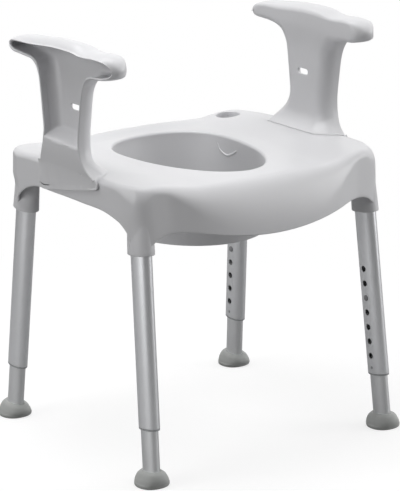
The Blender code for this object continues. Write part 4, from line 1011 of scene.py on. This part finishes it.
def web_faces(ring):
    """The flat face inside a ring, with the slot left open: points (y, z) and triangles.

    Points lie on an even net, kept off the edges, and Delaunay triangles join them all.
    """
    slot = slot_ring(SLOT_EDGE[0][0])
    across, up = np.arange(*NET_Y, NET_STEP), np.arange(*NET_Z, NET_STEP)
    net = np.stack(np.meshgrid(across, up), axis=-1).reshape(-1, 2)
    rim = np.concatenate([ring, slot])
    clear = np.min(np.linalg.norm(net[:, None] - rim[None], axis=2), axis=1) > NET_CLEAR
    net = net[clear & inside_of(net, ring) & ~inside_of(net, slot)]
    points = np.concatenate([ring, slot, net])
    loops = [np.arange(len(ring)), np.arange(len(slot)) + len(ring)]
    edges = np.concatenate([np.stack([loop, np.roll(loop, -1)], axis=1) for loop in loops])
    made = geometry.delaunay_2d_cdt(points.tolist(), edges.tolist(), [], 1, 1e-6)
    flat = np.array([tuple(v) for v in made[0]])
    faces = np.array(made[2])
    middle = flat[faces].mean(axis=1)
    return flat, faces[~inside_of(middle, slot)]


def panel_x(z):
    """x of the flush panel below the shelf, which follows the outer edge."""
    return np.interp(z, *np.transpose(PANEL))


def fill_channel(points):
    """Bring the channel's floor out to the flush panel below a soft S-shaped shelf."""
    x, y, z = points[..., 0], points[..., 1], points[..., 2]
    aside = y - ARM_Y
    low, high = SHELF_LOW + SHELF_LOW_TILT * aside, SHELF_HIGH + SHELF_HIGH_TILT * aside
    share = 1.0 - smoothstep(z, low, high)
    sunk = PANEL_SUNK * smoothstep(z, *PANEL_SUNK_Z)
    return np.stack([x + (panel_x(z) - sunk - x) * share, y, z], axis=-1)


def build_arm(node, side):
    """One armrest: outer face, rounded rim, channel, shelf, panel and slot.

    It is solid below the shelf: the cavity that takes the tenon is only in the CAD.
    """
    outer = arm_skin()
    normal = surface_normals(outer)
    back = outer - normal * ARM_WALL
    inner = fill_channel(back)
    rim = edge_round(outer[0], normal[0], np.array([1.0, 0.0, 0.0]), ARM_WALL, 7)[::-1]
    rest = rest_on_seat(outer)
    turned = side < 0
    mirror = np.array([side, 1.0, 1.0])
    skin = Skin()
    skin.sheet(np.concatenate([inner[::-1], rim, rest]) * mirror, turned=turned)
    front_face = (outer, 0.0, rest_on_seat, rest, not turned)
    back_face = (back, ARM_WALL, fill_channel, inner, turned)
    for face, deep, shape, joined_to, swapped in (front_face, back_face):
        flat, faces = web_faces(face[-1][:, 1:])
        px = arm_plan(arm_web(flat[:, 1]), flat[:, 0], flat[:, 1])[:, 0]
        points = shape(np.stack([px + deep, flat[:, 0], flat[:, 1]], axis=-1))
        points[: outer.shape[1]] = joined_to[-1]
        index = skin.add_points(points * mirror)
        skin.add_faces(index[faces], turned=swapped)
    slot = []
    for grow, deep in SLOT_EDGE:
        ring = slot_ring(grow)
        slot.append(np.insert(ring, 0, arm_web(SLOT_Z) + deep, axis=1))
    skin.sheet(np.stack(slot) * mirror, turned=turned)
    name = node + "_moulded"
    set_piece(name, skin.mesh(name), SEAT_PLASTIC, node, node, sharp=50.0)


# Legs.


def drilled(mesh, leg, half_width, places):
    """The mesh with round holes (height, radius) through its wall on the leg's inner face."""
    tools = []
    for height, radius in places:
        size = {"radius1": radius * MM, "radius2": radius * MM, "depth": DRILL_DEPTH * MM}
        out = (-leg.side * (half_width + DRILL_OUT) * MM, 0.0, height * MM)
        work = bmesh.new()
        bmesh.ops.create_cone(work, cap_ends=True, segments=40, **size)
        work.transform(Matrix.Translation(out) @ Matrix.Rotation(math.pi / 2, 4, "Y"))
        work.transform(leg.matrix())
        tool = bpy.data.meshes.new("drill")
        work.to_mesh(tool)
        work.free()
        tools.append(tool)
    return carve(mesh, [("DIFFERENCE", joined(tools))])


def tube_rings(low, high, half, wall, step=12.5, columns=120):
    """A tube's surface as one loop: outside, rounded end, bore, rounded end."""
    run = np.arange(low + TUBE_SOFT + 1.0, high - TUBE_SOFT - 1.0, step)
    outside = np.stack([np.zeros_like(run), run], axis=1)
    bottom = arc(-TUBE_SOFT, low + TUBE_SOFT, TUBE_SOFT, 0.0, -90.0, 4)
    top = arc(-TUBE_SOFT, high - TUBE_SOFT, TUBE_SOFT, 90.0, 0.0, 4)
    inside = np.array([(-wall, low + 0.2), (-wall, high - 0.2)])
    profile = np.concatenate([outside[::-1], bottom, inside, top])
    return lathe(profile, columns, half)


def build_tube(leg, kind, ends, half, wall, holes, finish, body):
    """One tube of a leg, drilled on its inner side."""
    whole = sheet_mesh(kind, leg.place(tube_rings(*ends, half, wall)), loop=True)
    node = kind + "_tube_" + leg.name
    set_piece(node + "_drawn", drilled(whole, leg, half[0], holes), finish, body, node, leg=leg)


def build_tubes(leg):
    """Outer tube with its row of holes, and inner tube drilled to match."""
    holes = [(height, HOLE_RADIUS) for height in HOLE_HEIGHTS]
    with_lug = holes + [(TUBE_END + LUG_HEIGHT, LUG_HOLE)]
    ends = (TUBE_END, TUBE_TOP)
    build_tube(leg, "outer", ends, OUTER_HALF, OUTER_WALL, with_lug, TUBE_ALUMINIUM, "seat")
    ends = (INNER_LOW, INNER_TOP)
    body = "leg_" + leg.name
    build_tube(leg, "inner", ends, INNER_HALF, INNER_WALL, holes, INNER_ALUMINIUM, body)


def turned_across(leg, profile, columns, height, out=0.0):
    """A profile turned about the line that crosses the leg at a height, to its inner side."""
    turned = lathe(profile, columns)
    across = -leg.side * (out + turned[..., 2])
    return leg.place(np.stack([across, turned[..., 1], turned[..., 0] + height], axis=-1))


def build_bush(leg):
    """The bush in the outer tube's mouth: a rounded flange, a sleeve inside and a lug."""
    seat = TUBE_END - PLAY
    low, high = seat - BUSH_FLANGE, TUBE_END + BUSH_DEPTH
    bore = INNER_HALF[0] + PLAY - OUTER_HALF[0]
    profile = np.concatenate(
        [
            [(-BUSH_SLEEVE, high), (-BUSH_SLEEVE, seat), (0.0, seat)],
            arc(-BUSH_ROUND, low + BUSH_ROUND, BUSH_ROUND, 0.0, -90.0, 5),
            [(bore + 0.5, low), (bore, low + 0.5), (bore, high)],
        ]
    )
    skin = Skin()
    skin.sheet(leg.place(lathe(profile, 96, OUTER_HALF)), loop=True)
    lug = turned_across(leg, LUG_PROFILE, 24, TUBE_END + LUG_HEIGHT, OUTER_HALF[0] - LUG_SUNK)
    skin.sheet(lug, turned=leg.side > 0)
    node = "end_bush_" + leg.name
    set_piece(node + "_moulded", skin.mesh("bush"), BUSH_PLASTIC, "seat", node, leg=leg)


def build_button(leg):
    """The push button: a low dome with a rounded edge, a stem and a shoulder behind it."""
    top = OUTER_HALF[0] + BUTTON_PROUD
    front, back = BUTTON_SHOULDER_AT
    profile = np.concatenate(
        [
            [(0.0, top), (1.6, top - 0.04), (2.9, top - 0.2)],
            arc(BUTTON_RADIUS - BUTTON_ROUND, top - 1.6, BUTTON_ROUND, 75.0, 0.0, 6),
            [(BUTTON_RADIUS, front), (BUTTON_SHOULDER, front), (BUTTON_SHOULDER, back), (0.0, back)],
        ]
    )
    across = turned_across(leg, profile, 40, BUTTON_HEIGHT)
    mesh = sheet_mesh("button", across, turned=leg.side > 0)
    body = "button_" + leg.name
    set_piece(body + "_domed", mesh, BUTTON_PLASTIC, body, "push_button_" + leg.name, leg=leg)


def build_foot(leg):
    """The rubber foot: a bell from a nearly round base up to the oval rim, and its pocket.

    Each ring is |x/a|^p + |y/b|^p = 1, from 2.3 at the base to 2 at the rim. Low rings lie
    level on the floor and turn square to the leg on the way up.
    """
    height, share, square, bulge = open_run(FOOT_ROWS, 44).T[:, :, None]
    square = np.clip(square, 0.0, 1.0)
    turn = np.linspace(0.0, 2.0 * np.pi, 96, endpoint=False)[None]
    power = 2.0 / (2.0 + FOOT_SQUARE * np.clip(share, 0.0, 1.0))
    half_x = FOOT_RIM_HALF[0] + (FOOT_BASE_HALF[0] - FOOT_RIM_HALF[0]) * share
    half_y = FOOT_RIM_HALF[1] + (FOOT_BASE_HALF[1] - FOOT_RIM_HALF[1]) * share + FOOT_BULGE * bulge
    x = half_x * np.sign(np.cos(turn)) * np.abs(np.cos(turn)) ** power
    y = half_y * np.sign(np.sin(turn)) * np.abs(np.sin(turn)) ** power
    rings = leg.place(np.stack([x, y, np.broadcast_to(height, x.shape)], axis=-1))
    level = height * leg.turn[2, 2]
    rings[..., 2] = level + (rings[..., 2] - level) * square
    pocket = [(-FOOT_WALL, FOOT_HEIGHT - 0.3), (-FOOT_WALL, FOOT_SOLE)]
    inner = leg.place(lathe(pocket, 96, FOOT_RIM_HALF))
    surface = np.concatenate([pole(rings[0]), rings, inner, pole(inner[-1])])
    node = "foot_" + leg.name
    mesh = sheet_mesh("foot", surface, turned=True)
    set_piece(node + "_moulded", mesh, FOOT_RUBBER, "leg_" + leg.name, node, leg=leg)


def dress_cad_nodes():
    """The guide rings and spring clips keep their CAD shape and get their finish."""
    for leg in LEGS:
        for node, finish in (("guide_ring_", BUSH_PLASTIC), ("spring_clip_", SPRING_STEEL)):
            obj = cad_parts[node + leg.name]
            obj.data.materials.clear()
            obj.data.materials.append(finish)


# Stage.


def set_world():
    """White to the camera and through glass.

    Reflections see a studio that is dim on the photograph's side. The light that the world
    itself throws grows with the square of the way to the right.
    """
    world = bpy.data.worlds.new("studio")
    bpy.context.scene.world = world
    world.use_nodes = True
    finish = Finish(world.node_tree)
    path = finish.node("ShaderNodeLightPath").outputs
    where = finish.node("ShaderNodeTexCoord").outputs["Generated"]
    aside = finish.node("ShaderNodeSeparateXYZ", {0: where}).outputs["X"]
    right = finish.math("MAXIMUM", aside, 0.0)
    square = finish.math("MULTIPLY", right, right)
    fill = finish.math("MULTIPLY_ADD", square, FILL_RIGHT, FILL_ALL)
    front = finish.node("ShaderNodeVectorMath", {0: where, 1: DIM_SIDE}, operation="DOT_PRODUCT")
    studio = finish.spread(front.outputs["Value"], *DIM_SPAN, *STUDIO_LEVELS)
    given = {0: path["Is Glossy Ray"], 2: fill, 3: studio}
    gloss = finish.node("ShaderNodeMix", given, data_type="FLOAT")
    seen = finish.math("MAXIMUM", path["Is Camera Ray"], path["Is Transmission Ray"])
    level = finish.node("ShaderNodeMix", {0: seen, 2: gloss.outputs[0], 3: 1.0}, data_type="FLOAT")
    finish.link(level.outputs[0], world.node_tree.nodes["Background"].inputs["Color"])


def set_floor():
    """A pale floor with a soft shadow, plain white further out, and grey to reflections."""
    bpy.ops.mesh.primitive_plane_add(size=FLOOR_SIZE, location=(0.0, 0.0, FLOOR_LEVEL))
    floor = bpy.context.object
    floor.name = "floor"
    made = bpy.data.materials.new("pale_floor")
    made.use_nodes = True
    finish = Finish(made.node_tree)
    shader = made.node_tree.nodes["Principled BSDF"]
    shader.inputs["Base Color"].default_value = (*FLOOR_COLOUR, 1.0)
    shader.inputs["Roughness"].default_value = 0.9
    shader.inputs["Specular IOR Level"].default_value = 0.0
    white = {"Color": (1.0, 1.0, 1.0, 1.0)}
    glow = finish.node("ShaderNodeEmission", {**white, "Strength": FLOOR_GLOW})
    lit = finish.node("ShaderNodeAddShader", {0: shader.outputs[0], 1: glow.outputs[0]})
    plain = finish.node("ShaderNodeEmission", {**white, "Strength": 1.0})
    where = finish.node("ShaderNodeTexCoord").outputs["Object"]
    away = finish.node("ShaderNodeVectorMath", {0: where}, operation="LENGTH")
    far = finish.spread(away.outputs["Value"], *FLOOR_FADE)
    shown = finish.node("ShaderNodeMixShader", {0: far, 1: lit.outputs[0], 2: plain.outputs[0]})
    path = finish.node("ShaderNodeLightPath").outputs
    seen = finish.math("MAXIMUM", path["Is Camera Ray"], path["Is Transmission Ray"])
    final = finish.node("ShaderNodeMixShader", {0: seen, 1: shader.outputs[0], 2: shown.outputs[0]})
    finish.link(final.outputs[0], made.node_tree.nodes["Material Output"].inputs["Surface"])
    floor.data.materials.append(made)


def add_lamp(name, place, target, size, power):
    """A soft square lamp at a place, aimed at a target."""
    lamp = bpy.data.lights.new(name, "AREA")
    lamp.energy = power
    lamp.shape = "SQUARE"
    lamp.size = size
    obj = bpy.data.objects.new(name, lamp)
    bpy.context.scene.collection.objects.link(obj)
    obj.location = place
    obj.rotation_euler = (Vector(target) - Vector(place)).to_track_quat("-Z", "Y").to_euler()


def set_camera():
    """The camera at the photograph's viewing angle, from its solved place and directions."""
    camera = bpy.data.cameras.new("camera")
    camera.lens = 199.217
    camera.sensor_width = 36.0
    camera.clip_end = 50.0
    obj = bpy.data.objects.new("camera", camera)
    bpy.context.scene.collection.objects.link(obj)
    right = Vector((0.814793, -0.579711, -0.006812))
    up = Vector((0.162465, 0.217037, 0.962549))
    forward = Vector((0.556522, 0.785385, -0.271023))
    turn = Matrix((right, up, -forward)).transposed().to_4x4()
    obj.matrix_world = Matrix.Translation((-2.524183, -3.575857, 1.540288)) @ turn
    bpy.context.scene.camera = obj


build_seat()
build_arm("armrest_left", -1)
build_arm("armrest_right", 1)
for one in LEGS:
    build_tubes(one)
    build_bush(one)
    build_button(one)
    build_foot(one)
dress_cad_nodes()
set_world()
set_floor()
for lamp_name, lamp_place, lamp_target, lamp_size, lamp_power in LAMPS:
    add_lamp(lamp_name, lamp_place, lamp_target, lamp_size, lamp_power)
set_camera()
bpy.context.scene.view_settings.view_transform = "Standard"
